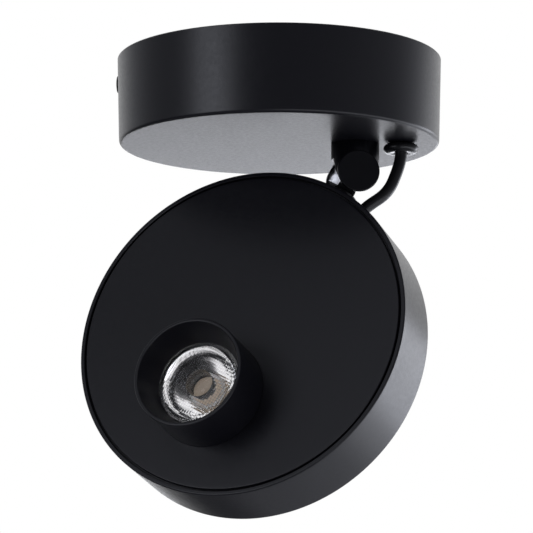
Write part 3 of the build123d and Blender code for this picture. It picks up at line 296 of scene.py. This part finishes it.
# ---------------------------------------------------------------- canopy shell
# A drawn aluminium cup with a black powder coat, open towards the ceiling. Its wall leans in slightly, and
# its flat bottom carries the knuckle and the lead. Inside are bosses for the driver's and the earth's screws.
black_coat = finish(
    "black_coat", (0.0080, 0.0078, 0.0120), (0.0068, 0.0066, 0.0102), 5200, 900, (0.31, 0.36), 0.000014, IOR=1.52
)
canopy_top, canopy_bottom, canopy_height = 50.0, 49.278, 26.5
canopy_wall, canopy_floor, canopy_edge = 1.8, 2.5, 1.0
lean = (canopy_top - canopy_bottom) / canopy_height


def turned(bm, profile, steps):
    """Spins a profile of (radius, height) points round an upright axis and closes its poles."""
    points = [bm.verts.new((r, 0, z)) for r, z in profile]
    ring = [bm.edges.new(pair) for pair in zip(points, points[1:] + points[:1])]
    bmesh.ops.spin(
        bm,
        geom=points + ring,
        cent=(0, 0, 0),
        axis=(0, 0, 1),
        angle=2 * pi,
        steps=steps,
        use_merge=True,
        use_duplicate=False,
    )
    bmesh.ops.remove_doubles(bm, verts=bm.verts[:], dist=1e-5)
    bmesh.ops.dissolve_degenerate(bm, edges=bm.edges[:], dist=1e-6)
    bmesh.ops.recalc_face_normals(bm, faces=bm.faces[:])


def arc(centre, radius, start, end, steps):
    """Points of a round edge in a profile, angles in degrees."""
    return [
        (
            centre[0] + radius * cos(radians(start + (end - start) * i / steps)),
            centre[1] + radius * sin(radians(start + (end - start) * i / steps)),
        )
        for i in range(steps + 1)
    ]


def piece(bm, name, material, body, replaced, place=Matrix(), crease=35):
    """Turns a mesh in millimetres into a finished piece in the row frame, riding on its body."""
    bmesh.ops.transform(bm, matrix=Matrix.Scale(0.001, 4) @ place, verts=bm.verts)
    data = bpy.data.meshes.new(name)
    bm.to_mesh(data)
    bm.free()
    data.shade_smooth()
    data.set_sharp_from_angle(angle=radians(crease))
    data.materials.append(material)
    made = bpy.data.objects.new(name, data)
    scene.collection.objects.link(made)
    if body:
        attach(made, body)
    if replaced:
        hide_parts(*replaced)
    return made


def carve(target, cutter, how="DIFFERENCE"):
    """Cuts one closed mesh out of another one, or joins the two, both bmesh, and returns what is left."""
    pair = []
    for bm in (target, cutter):
        data = bpy.data.meshes.new("work")
        bm.to_mesh(data)
        bm.free()
        thing = bpy.data.objects.new("work", data)
        scene.collection.objects.link(thing)
        pair.append(thing)
    knife = pair[0].modifiers.new("cut", "BOOLEAN")
    knife.operation = how
    knife.solver = "EXACT"
    knife.object = pair[1]
    bpy.context.view_layer.update()
    left = bmesh.new()
    left.from_mesh(pair[0].evaluated_get(bpy.context.evaluated_depsgraph_get()).to_mesh())
    for thing in pair:
        data = thing.data
        bpy.data.objects.remove(thing)
        bpy.data.meshes.remove(data)
    return left


def drill(bm, radius, place, length, steps=48):
    """Adds a closed cylinder to a cutter, standing on place's XY plane."""
    bmesh.ops.create_cone(
        bm,
        cap_ends=True,
        segments=steps,
        radius1=radius,
        radius2=radius,
        depth=length,
        matrix=place @ Matrix.Translation((0, 0, length / 2)),
    )


inner_bottom = canopy_bottom - canopy_wall
shell = bmesh.new()
turned(
    shell,
    [(0, -canopy_height), (10, -canopy_height), (canopy_bottom - canopy_edge - 1.2, -canopy_height)]
    + arc((canopy_bottom - canopy_edge, -canopy_height + canopy_edge), canopy_edge, -90, 1.5, 8)
    + [
        (canopy_bottom + lean * 2.2, -canopy_height + 2.2),
        (canopy_top - lean * 1.4, -1.4),
        (canopy_top - lean * 0.25, -0.25),
        (canopy_top - 0.25, 0),
        (canopy_top - canopy_wall + 0.25, 0),
        (canopy_top - canopy_wall, -0.25),
        (inner_bottom + lean * 1.5, -canopy_height + canopy_floor + 1.5),
        (inner_bottom, -canopy_height + canopy_floor),
        (0, -canopy_height + canopy_floor),
    ],
    192,
)
shell_holes = bmesh.new()
drill(shell_holes, 5.05, Matrix.Translation((23.5, 0, -28)), 6)
drill(shell_holes, 3.55, Matrix.Translation((37.5, 0, -28)), 6)
side_axis = Matrix.Translation((-48.92, 0, -6.5)) @ Matrix.Rotation(radians(-90), 4, "Y")
drill(shell_holes, 2.9, side_axis, 4)
drill(shell_holes, 1.6, side_axis @ Matrix.Translation((0, 0, -4)), 5)
bosses = bmesh.new()
boss_screws = [
    (-16.0, 13.776, 3.2, 1.55),
    (4.0, 13.776, 3.2, 1.55),
    (-23.75, -30.705, 3.2, 1.55),
    (-34.478, 0, 4.0, 2.05),
]
inside_floor = -canopy_height + canopy_floor
for x, y, radius, thread in boss_screws:
    drill(bosses, radius, Matrix.Translation((x, y, inside_floor - 0.5)), 4.5, 40)
shell = carve(shell, bosses, "UNION")
for x, y, radius, thread in boss_screws:
    drill(shell_holes, thread, Matrix.Translation((x, y, inside_floor)), 6, 32)
shell = carve(shell, shell_holes)
lug = bmesh.new()
bmesh.ops.create_cube(lug, size=1, matrix=Matrix.Translation((48.35, 0, -8)) @ Matrix.Diagonal((2.3, 11.0, 2.0, 1)))
lug_edges = [e for e in lug.edges if abs(e.verts[0].co.x - e.verts[1].co.x) < 0.01 and e.verts[0].co.x < 48]
bmesh.ops.bevel(lug, geom=lug_edges, offset=0.3, segments=2, profile=0.5, affect="EDGES", material=-1)
shell = carve(shell, lug, "UNION")
canopy = piece(shell, "canopy_cup", black_coat, "canopy", ["canopy_shell"])


def evened(made, bevel=0.0):
    """Keeps flat faces flat under smooth shading, and eases the sharp edges by bevel millimetres."""
    if bevel:
        ease = made.modifiers.new("ease", "BEVEL")
        ease.width = bevel / 1000
        ease.segments = 2
        ease.limit_method = "ANGLE"
        ease.angle_limit = radians(50)
        ease.harden_normals = False
    even = made.modifiers.new("even", "WEIGHTED_NORMAL")
    even.keep_sharp = True
    even.weight = 80
    return made


evened(canopy)

# ---------------------------------------------------------------- side screw
# A black socket screw that holds the canopy to the bracket's bent end. Its head stands a little proud of
# the wall and shows at the canopy's left edge.
black_screw = finish(
    "black_screw", (0.020, 0.020, 0.021), (0.010, 0.010, 0.011), 3000, 500, (0.28, 0.42), 0.00001, 0.6, IOR=1.6
)


def merged(node):
    """A CAD node's mesh in millimetres with its seams closed."""
    bm = bmesh.new()
    bm.from_mesh(nodes[node].data)
    bmesh.ops.transform(bm, matrix=Matrix.Scale(1000, 4), verts=bm.verts)
    bmesh.ops.remove_doubles(bm, verts=bm.verts[:], dist=1e-4)
    return bm


def refined(node, material, crease=28, bevel=0.0):
    """The CAD solid itself, closed up and smoothly shaded, with its sharp edges eased."""
    made = piece(merged(node), node + "_finished", material, None, None, crease=crease)
    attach(made, nodes[node]["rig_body"])
    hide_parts(node)
    return evened(made, bevel)


refined("canopy_side_screw", black_screw)
refined("ceiling_bracket", zinc, 30, 0.12)

# ---------------------------------------------------------------- terminal block and driver
# A white moulded strip with brass clamping screws, and a sealed white driver with a lid, both on small
# bosses of the canopy's floor under zinc plated screws.
white_moulding = finish(
    "white_moulding", (0.80, 0.80, 0.78), (0.74, 0.74, 0.71), 1800, 90, (0.42, 0.55), 0.00002, IOR=1.49
)
brass = finish("brass", (0.78, 0.58, 0.26), (0.62, 0.44, 0.18), 2500, 300, (0.22, 0.38), 0.000006, 1.0)
steel_fixings = finish(
    "steel_fixings", (0.60, 0.60, 0.62), (0.44, 0.44, 0.46), 2600, 400, (0.20, 0.36), 0.000006, 1.0
)
refined("terminal_block", white_moulding, 30, 0.12)
refined("terminal_screws", brass)
refined("driver_case", white_moulding, 30, 0.15)
refined("driver_lid", white_moulding, 30, 0.1)
refined("foot_screws", steel_fixings)

# ---------------------------------------------------------------- earth point and wiring
# A tinned ring tag under an M4 screw, two insulated wires from the terminal block to the driver, one to the
# tag, and two thin ones to the lead.
refined("earth_tag", brass)
refined("earth_screw", steel_fixings)
blue_insulation = finish(
    "blue_insulation", (0.04, 0.14, 0.48), (0.03, 0.10, 0.38), 1500, 200, (0.30, 0.45), 0.00001
)
green_insulation = finish(
    "green_insulation", (0.22, 0.46, 0.07), (0.16, 0.36, 0.05), 1500, 200, (0.30, 0.45), 0.00001
)
red_insulation = finish(
    "red_insulation", (0.48, 0.04, 0.03), (0.36, 0.03, 0.02), 1500, 200, (0.30, 0.45), 0.00001
)
refined("mains_wires", blue_insulation)
refined("earth_wire", green_insulation)
refined("output_wires", red_insulation)

# ---------------------------------------------------------------- gland
# A round moulded bush under the canopy with a soft rounded flange, held inside by a nut. The lead comes down
# through it.
black_moulding = finish(
    "black_moulding", (0.014, 0.014, 0.015), (0.010, 0.010, 0.011), 1800, 160, (0.18, 0.30), 0.00001, IOR=1.5
)
gland_x, lead_bore = 37.5, 1.95
gland = bmesh.new()
turned(
    gland,
    [(lead_bore, -29.2), (lead_bore + 0.35, -29.5), (3.4, -29.6)]
    + arc((3.9, -28.15), 1.45, -85, 75, 14)
    + [(3.5, -26.5), (3.5, -20.4), (3.3, -20.2), (lead_bore, -20.2)],
    96,
)
gland_place = Matrix.Translation((gland_x, 0, 0))
evened(piece(gland, "gland", black_moulding, "canopy", ["lead_gland"], gland_place))
refined("gland_nut", black_moulding, 28, 0.15)
refined("lead_stop", black_moulding, 28, 0.1)

# ---------------------------------------------------------------- washers and nut of the swivel
# Zinc plated ring, spring washer and hexagon nut that hold the knuckle's spigot inside the canopy.
refined("swivel_washer", steel_fixings, 28, 0.1)
refined("swivel_spring_washer", steel_fixings, 28, 0.1)
refined("swivel_nut", steel_fixings, 28, 0.1)

# ---------------------------------------------------------------- knuckle
# Two ears turned and milled from bar and coated black, one under the canopy and one on the head's stem, with
# a thin plastic disc between them and a cap screw through both from behind.
black_steel = finish(
    "black_steel", (0.0035, 0.0035, 0.0060), (0.0028, 0.0028, 0.0048), 5200, 900, (0.30, 0.37), 0.00001, IOR=1.42
)
pivot = Matrix.Translation((23.5, 0, -36.2))
upper_place = pivot @ Matrix.Rotation(radians(10.89), 4, "Z")
lower_place = upper_place @ Matrix.Rotation(radians(30.98), 4, "Y")


heel_x, heel_front, heel_slope_x, heel_slope_z = -3, 1.2, 0.49, 0.35


def ear(node, place, rim, drawn_in, heel_cuts=()):
    """The knuckle half itself, with the lower round of its ear drawn in away from the front face.

    Where it has heel cuts, the front face turns back left of heel_x. Known fault: that has no lower limit, so it
    also pulls a fin out of the left side of the stem.
    """
    bm = merged(node)
    for spot, way in heel_cuts:
        bmesh.ops.bisect_plane(
            bm, geom=bm.verts[:] + bm.edges[:] + bm.faces[:], plane_co=place @ spot, plane_no=place.to_3x3() @ way
        )
    for vert in bm.verts:
        spot = place.inverted() @ vert.co
        if heel_cuts and spot.x < heel_x + 0.01 and spot.y < heel_front:
            back = max(0, (heel_x - spot.x) * heel_slope_x - spot.z * heel_slope_z)
            vert.co += place.to_3x3() @ Vector((0, back, 0))
        reach = Vector((spot.x, spot.z)).length
        if reach > rim[0] and reach < rim[1] and spot.z < 1.5:
            share = min(1, (1.5 - spot.z) / 3) * drawn_in(spot)
            vert.co = place @ Vector((spot.x * (1 - share), spot.y, spot.z * (1 - share)))
    made = piece(bm, node + "_finished", black_steel, None, None, crease=30)
    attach(made, nodes[node]["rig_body"])
    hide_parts(node)
    return evened(made)


ear("upper_knuckle", upper_place, (5.9, 6.6), lambda spot: 0.23 * max(0, (spot.y + 7) / 6.75))
refined("pivot_screw", black_screw)
refined("pivot_washer", black_screw, 28, 0.1)
friction_plastic = finish(
    "friction_plastic", (0.28, 0.28, 0.26), (0.20, 0.20, 0.19), 1500, 200, (0.35, 0.5), 0.00001
)
refined("friction_disc", friction_plastic)
# The lower ear's front face turns back on the heel's side, where it is left bare down to bare_z.
bare_z = -5
lower_ear = ear(
    "lower_knuckle",
    lower_place,
    (4.9, 5.1),
    lambda spot: 0.12 if spot.x > 0 else 0,
    [(Vector((heel_x, 0, 0)), Vector((1, 0, 0))), (Vector((0, 0, bare_z)), Vector((0, 0, 1)))],
)
bare_steel = finish(
    "bare_steel", (0.70, 0.70, 0.72), (0.56, 0.56, 0.58), 1800, 300, (0.30, 0.42), 0.000008, 1.0
)
lower_ear.data.materials.append(bare_steel)
for face in lower_ear.data.polygons:
    spot = lower_place.inverted() @ (face.center * 1000)
    facing = face.normal.dot(lower_place.to_3x3() @ Vector((0, -1, 0)))
    if facing > 0.8 and spot.x < heel_x and spot.z > bare_z:
        face.material_index = 1
refined("stem_washer", steel_fixings, 28, 0.15)
refined("stem_spring_washer", steel_fixings, 28, 0.1)
refined("stem_nut", steel_fixings, 28, 0.1)

# ---------------------------------------------------------------- lead
# A round flexible lead, 3.7 mm across, from the gland to the bush in the head's rim. It is one jacket, cut
# here into three open lengths that meet at rest, at the two joints of the knuckle.
lead_jacket = finish(
    "lead_jacket", (0.012, 0.012, 0.013), (0.008, 0.008, 0.009), 2200, 300, (0.30, 0.40), 0.00001, IOR=1.5
)
swivel_place = lower_place @ Matrix.Rotation(radians(-32.6), 4, "Z")
head_place = swivel_place @ Matrix.Translation((0, 0, -8.7 - 52.5)) @ Matrix.Rotation(radians(90), 4, "X")
lead_turn = radians(10.0)


def on_lead_line(radius):
    """A point on the lead's line in the head, this far from the head's middle."""
    return head_place @ Vector((radius * sin(lead_turn), radius * cos(lead_turn), 0))


route = [
    Vector((gland_x, 0, -12)),
    Vector((gland_x, 0, -28.5)),
    Vector((gland_x, 0, -31.0)),
    Vector((36.55, -1.0, -35.1)),
    Vector((33.7, -2.95, -42.35)),
    on_lead_line(54.5),
    on_lead_line(52.6),
    on_lead_line(44.5),
]
curve = bpy.data.curves.new("lead_line", "CURVE")
curve.dimensions = "3D"
curve.bevel_depth = 1.85
curve.bevel_resolution = 7
curve.resolution_u = 20
curve.use_fill_caps = True
line = curve.splines.new("NURBS")
line.points.add(len(route) - 1)
for point, spot in zip(line.points, route):
    point.co = (*spot, 1)
line.order_u = 3
line.use_endpoint_u = True
line_object = bpy.data.objects.new("lead_line", curve)
scene.collection.objects.link(line_object)
jacket_mesh = bpy.data.meshes.new_from_object(line_object)
bpy.data.objects.remove(line_object)
first_joint, second_joint = Vector((34.84, -1.98, -38.58)), Vector((31.97, -3.23, -42.97))
first_way = Vector((-0.389, -0.242, -0.889)).normalized()
second_way = Vector((-0.672, -0.217, -0.709)).normalized()
lead_parts = []
for name, cuts in (
    ("lead_top", [(first_joint, first_way, True)]),
    ("lead_middle", [(first_joint, first_way, False), (second_joint, second_way, True)]),
    ("lead_foot", [(second_joint, second_way, False)]),
):
    jacket = bmesh.new()
    jacket.from_mesh(jacket_mesh)
    bmesh.ops.remove_doubles(jacket, verts=jacket.verts[:], dist=1e-4)
    for spot, way, keep_start in cuts:
        bmesh.ops.bisect_plane(
            jacket,
            geom=jacket.verts[:] + jacket.edges[:] + jacket.faces[:],
            plane_co=spot,
            plane_no=way,
            clear_outer=keep_start,
            clear_inner=not keep_start,
        )
    lead_parts.append(
        piece(jacket, name, lead_jacket, None, ["lead"] if name == "lead_top" else None, crease=60)
    )
bpy.data.meshes.remove(jacket_mesh)
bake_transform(lead_parts[0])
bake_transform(lead_parts[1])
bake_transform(lead_parts[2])

# ---------------------------------------------------------------- head housing
# A turned aluminium cup, coated black, with a thin lip round the front plate. Its rim has a flat spot for the
# stem and a hole for the lead, and its back is drilled for five countersunk screws.
head_radius, front_z, lip, plate_back = 52.5, 10.65, 1.3, 8.65
inner_radius, inner_back = head_radius - 2.6, -front_z + 2.5
housing = bmesh.new()
turned(
    housing,
    [(0, -front_z), (12, -front_z), (head_radius - 2.2, -front_z)]
    + arc((head_radius - 0.6, -front_z + 0.6), 0.6, -90, 0, 6)
    + [(head_radius, -front_z + 1.8), (head_radius, front_z - 1.4)]
    + arc((head_radius - 0.42, front_z - 0.42), 0.42, 0, 90, 5)
    + [(head_radius - lip + 0.12, front_z), (head_radius - lip, front_z - 0.12)]
    + [(head_radius - lip, plate_back), (inner_radius, plate_back), (inner_radius, inner_back), (0, inner_back)],
    240,
)
pad = bmesh.new()
bmesh.ops.create_cube(pad, size=1, matrix=Matrix.Translation((0, 49.8, 0)) @ Matrix.Diagonal((12, 2.6, 12.8, 1)))
housing = carve(housing, pad, "UNION")
rim_holes = bmesh.new()
stem_way = Matrix.Translation((0, head_radius, 0)) @ Matrix.Rotation(radians(-90), 4, "X")
drill(rim_holes, 4.7, stem_way @ Matrix.Translation((0, 0, -0.3)), 4, 64)
drill(rim_holes, 3.05, stem_way @ Matrix.Translation((0, 0, -6)), 8, 48)
lead_way = Matrix.Rotation(-lead_turn, 4, "Z") @ stem_way
drill(rim_holes, 3.2, lead_way @ Matrix.Translation((0, 0, -0.1)), 3, 48)
drill(rim_holes, 2.55, lead_way @ Matrix.Translation((0, 0, -4)), 6, 48)
optic = (2.8975, -21.1525)
back_screws = [(45.4 * cos(radians(a)), 45.4 * sin(radians(a))) for a in (30, 150, 270)]
back_screws += [(optic[0] + x, optic[1]) for x in (-4.4, 4.4)]
for x, y in back_screws:
    bmesh.ops.create_cone(
        rim_holes,
        cap_ends=True,
        segments=48,
        radius1=3.1,
        radius2=1.6,
        depth=1.8,
        matrix=Matrix.Translation((x, y, -front_z - 0.1 + 0.9)),
    )
    drill(rim_holes, 1.6, Matrix.Translation((x, y, -front_z + 1)), 4, 48)
housing = carve(housing, rim_holes)
evened(piece(housing, "housing", black_coat, "head", ["head_housing"], head_place))

# ---------------------------------------------------------------- front plate
# A flat coated disc set in the lip with a narrow groove round it. Three posts behind it take the cover
# screws, and the snoot comes through a hole below its middle.
plate = bmesh.new()
plate_radius = 50.55
turned(
    plate,
    [(0, front_z), (5, front_z), (plate_radius - 1.4, front_z)]
    + [(r, z) for r, z in reversed(arc((plate_radius - 0.3, front_z - 0.3), 0.3, 0, 90, 4))]
    + [(plate_radius, plate_back + 0.1), (plate_radius - 0.1, plate_back), (0, plate_back)],
    240,
)
posts = bmesh.new()
for x, y in back_screws[:3]:
    drill(posts, 3.2, Matrix.Translation((x, y, inner_back + 0.1)), plate_back - inner_back, 40)
plate = carve(plate, posts, "UNION")
plate_holes = bmesh.new()
drill(plate_holes, 17.06, Matrix.Translation((*optic, plate_back - 1)), 4, 160)
for x, y in back_screws[:3]:
    drill(plate_holes, 1.55, Matrix.Translation((x, y, inner_back)), 9, 32)
plate = carve(plate, plate_holes)
evened(piece(plate, "plate", black_coat, "head", ["front_plate"], head_place))
refined("cover_screws", black_screw)

# ---------------------------------------------------------------- snoot
# A turned tube that shields the lamp, coated black inside and out. Its bore widens towards the rim, and the
# ledge inside holds the lens.
snoot_place = head_place @ Matrix.Translation((*optic, 0))
mouth, lens_front = 27.85, 18.95
snoot = bmesh.new()
turned(
    snoot,
    [(17.0, 8.65), (17.0, 11.5), (17.0, mouth - 1.2)]
    + arc((17.0 - 0.33, mouth - 0.33), 0.33, 0, 90, 5)
    + arc((15.9 + 0.28, mouth - 0.28), 0.28, 90, 170, 4)
    + [(15.6, mouth - 1.2), (13.1, lens_front + 0.6), (12.9, lens_front + 0.15), (12.9, lens_front)]
    + [(13.3, lens_front), (13.3, 7.05), (20.5, 7.05), (20.5, 8.65)],
    192,
)
evened(piece(snoot, "snoot_tube", black_coat, "head", ["snoot"], snoot_place))
refined("snoot_screws", black_screw)

# ---------------------------------------------------------------- lens
# A clear moulded collimator: a flat front with fine diamond facets, a domed well in the middle and a curved cone
# that stands over the light source. The material draws the facets with a bump, and paints their light and shade
# into the glass's colour: grey valleys, white crests.
lens_glass = bpy.data.materials.new("clear_lens")
lens_glass.use_nodes = True
glass = lens_glass.node_tree.nodes["Principled BSDF"]
glass.inputs["Roughness"].default_value = 0.06
glass.inputs["IOR"].default_value = 1.49
glass.inputs["Transmission Weight"].default_value = 1.0
lens_tree = lens_glass.node_tree
lens_spot = lens_tree.nodes.new("ShaderNodeTexCoord")
lens_square = lens_tree.nodes.new("ShaderNodeMapping")
lens_square.vector_type = "TEXTURE"
lens_square.inputs["Location"].default_value = snoot_place.translation / 1000
lens_square.inputs["Rotation"].default_value = (snoot_place @ Matrix.Rotation(radians(45), 4, "Z")).to_euler()
lens_axes = lens_tree.nodes.new("ShaderNodeSeparateXYZ")
lens_tree.links.new(lens_spot.outputs["Object"], lens_square.inputs["Vector"])
lens_tree.links.new(lens_square.outputs["Vector"], lens_axes.inputs[0])
front_height = lens_front / 1000
facet_height = blend_range(lens_tree, lens_axes.outputs["Z"], front_height - 0.0004, front_height - 0.0002)
for axis in ("X", "Y"):
    # the waves of both ways cross in diamonds 0.6 mm across
    wave = lens_tree.nodes.new("ShaderNodeMath")
    wave.operation = "MULTIPLY"
    wave.inputs[1].default_value = 2 * pi / 0.0012
    swell = lens_tree.nodes.new("ShaderNodeMath")
    swell.operation = "SINE"
    both_ways = lens_tree.nodes.new("ShaderNodeMath")
    both_ways.operation = "MULTIPLY"
    lens_tree.links.new(lens_axes.outputs[axis], wave.inputs[0])
    lens_tree.links.new(wave.outputs[0], swell.inputs[0])
    lens_tree.links.new(swell.outputs[0], both_ways.inputs[0])
    lens_tree.links.new(facet_height, both_ways.inputs[1])
    facet_height = both_ways.outputs[0]
# painted facet shading: the clear glass is tinted grey in the facets' valleys and white on their crests, standing
# in for their light and shade
facet_painted_shade = lens_tree.nodes.new("ShaderNodeMix")
facet_painted_shade.data_type = "RGBA"
facet_painted_shade.inputs["A"].default_value = (0.62, 0.61, 0.65, 1)
facet_painted_shade.inputs["B"].default_value = (1, 1, 1, 1)
lens_tree.links.new(blend_range(lens_tree, facet_height, -0.45, 0.35), facet_painted_shade.inputs["Factor"])
lens_tree.links.new(facet_painted_shade.outputs["Result"], glass.inputs["Base Color"])
facet_bump = lens_tree.nodes.new("ShaderNodeBump")
facet_bump.inputs["Distance"].default_value = 0.00003
lens_tree.links.new(facet_height, facet_bump.inputs["Height"])
lens_tree.links.new(facet_bump.outputs["Normal"], glass.inputs["Normal"])
lens = bmesh.new()
lens_foot, cone_top, cone_top_r = lens_front - 11.0, lens_front - 1.2, 12.0
turned(
    lens,
    [(0, lens_front - 3.2)]
    + arc((0, lens_front - 8.0), 4.8, 85, 34, 12)
    + [(4.1, lens_front - 5.3), (4.25, lens_front), (4.6, lens_front), (12.0, lens_front)]
    + [(13.2, lens_front), (13.2, cone_top), (cone_top_r, cone_top)]
    + [(11.35, cone_top - 2.2), (10.1, cone_top - 4.7), (8.2, cone_top - 7.2), (5.5, lens_foot)]
    + [(4.8, lens_foot), (4.8, lens_foot + 0.9), (0, lens_foot + 0.9)],
    144,
)
piece(lens, "collimator", lens_glass, "head", ["lens"], snoot_place, crease=12)
refined("lens_holder", black_moulding)

# ---------------------------------------------------------------- light source and heat sink
# A yellow phosphor disc on a white enamelled board, with a soft pad between the board and a turned and slotted
# aluminium heat sink.
board_enamel = finish(
    "board_enamel", (0.86, 0.86, 0.83), (0.80, 0.80, 0.77), 1800, 160, (0.30, 0.42), 0.00001
)
phosphor = finish("phosphor", (0.84, 0.70, 0.52), (0.74, 0.58, 0.40), 2600, 500, (0.25, 0.40), 0.00001)
pad_rubber = finish("pad_rubber", (0.42, 0.47, 0.52), (0.36, 0.40, 0.45), 1500, 200, (0.6, 0.75), 0.00002)
bare_aluminium = finish(
    "bare_aluminium", (0.72, 0.73, 0.75), (0.58, 0.59, 0.61), 2200, 260, (0.24, 0.40), 0.00001, 1.0
)
refined("led_board", board_enamel, 28, 0.08)
refined("led_emitter", phosphor, 28, 0.1)
refined("led_board_screws", steel_fixings)
refined("thermal_pad", pad_rubber)
refined("heat_sink", bare_aluminium, 28, 0.12)
refined("heat_sink_screws", black_screw)

# ---------------------------------------------------------------- bush and wires in the head
# A soft rubber ring in the rim that the lead passes through, and two thin wires from the lead to the board.
black_rubber = finish(
    "black_rubber", (0.013, 0.013, 0.013), (0.009, 0.009, 0.009), 1800, 200, (0.5, 0.62), 0.00002
)
refined("head_bush", black_rubber)
refined("led_wires", red_insulation)
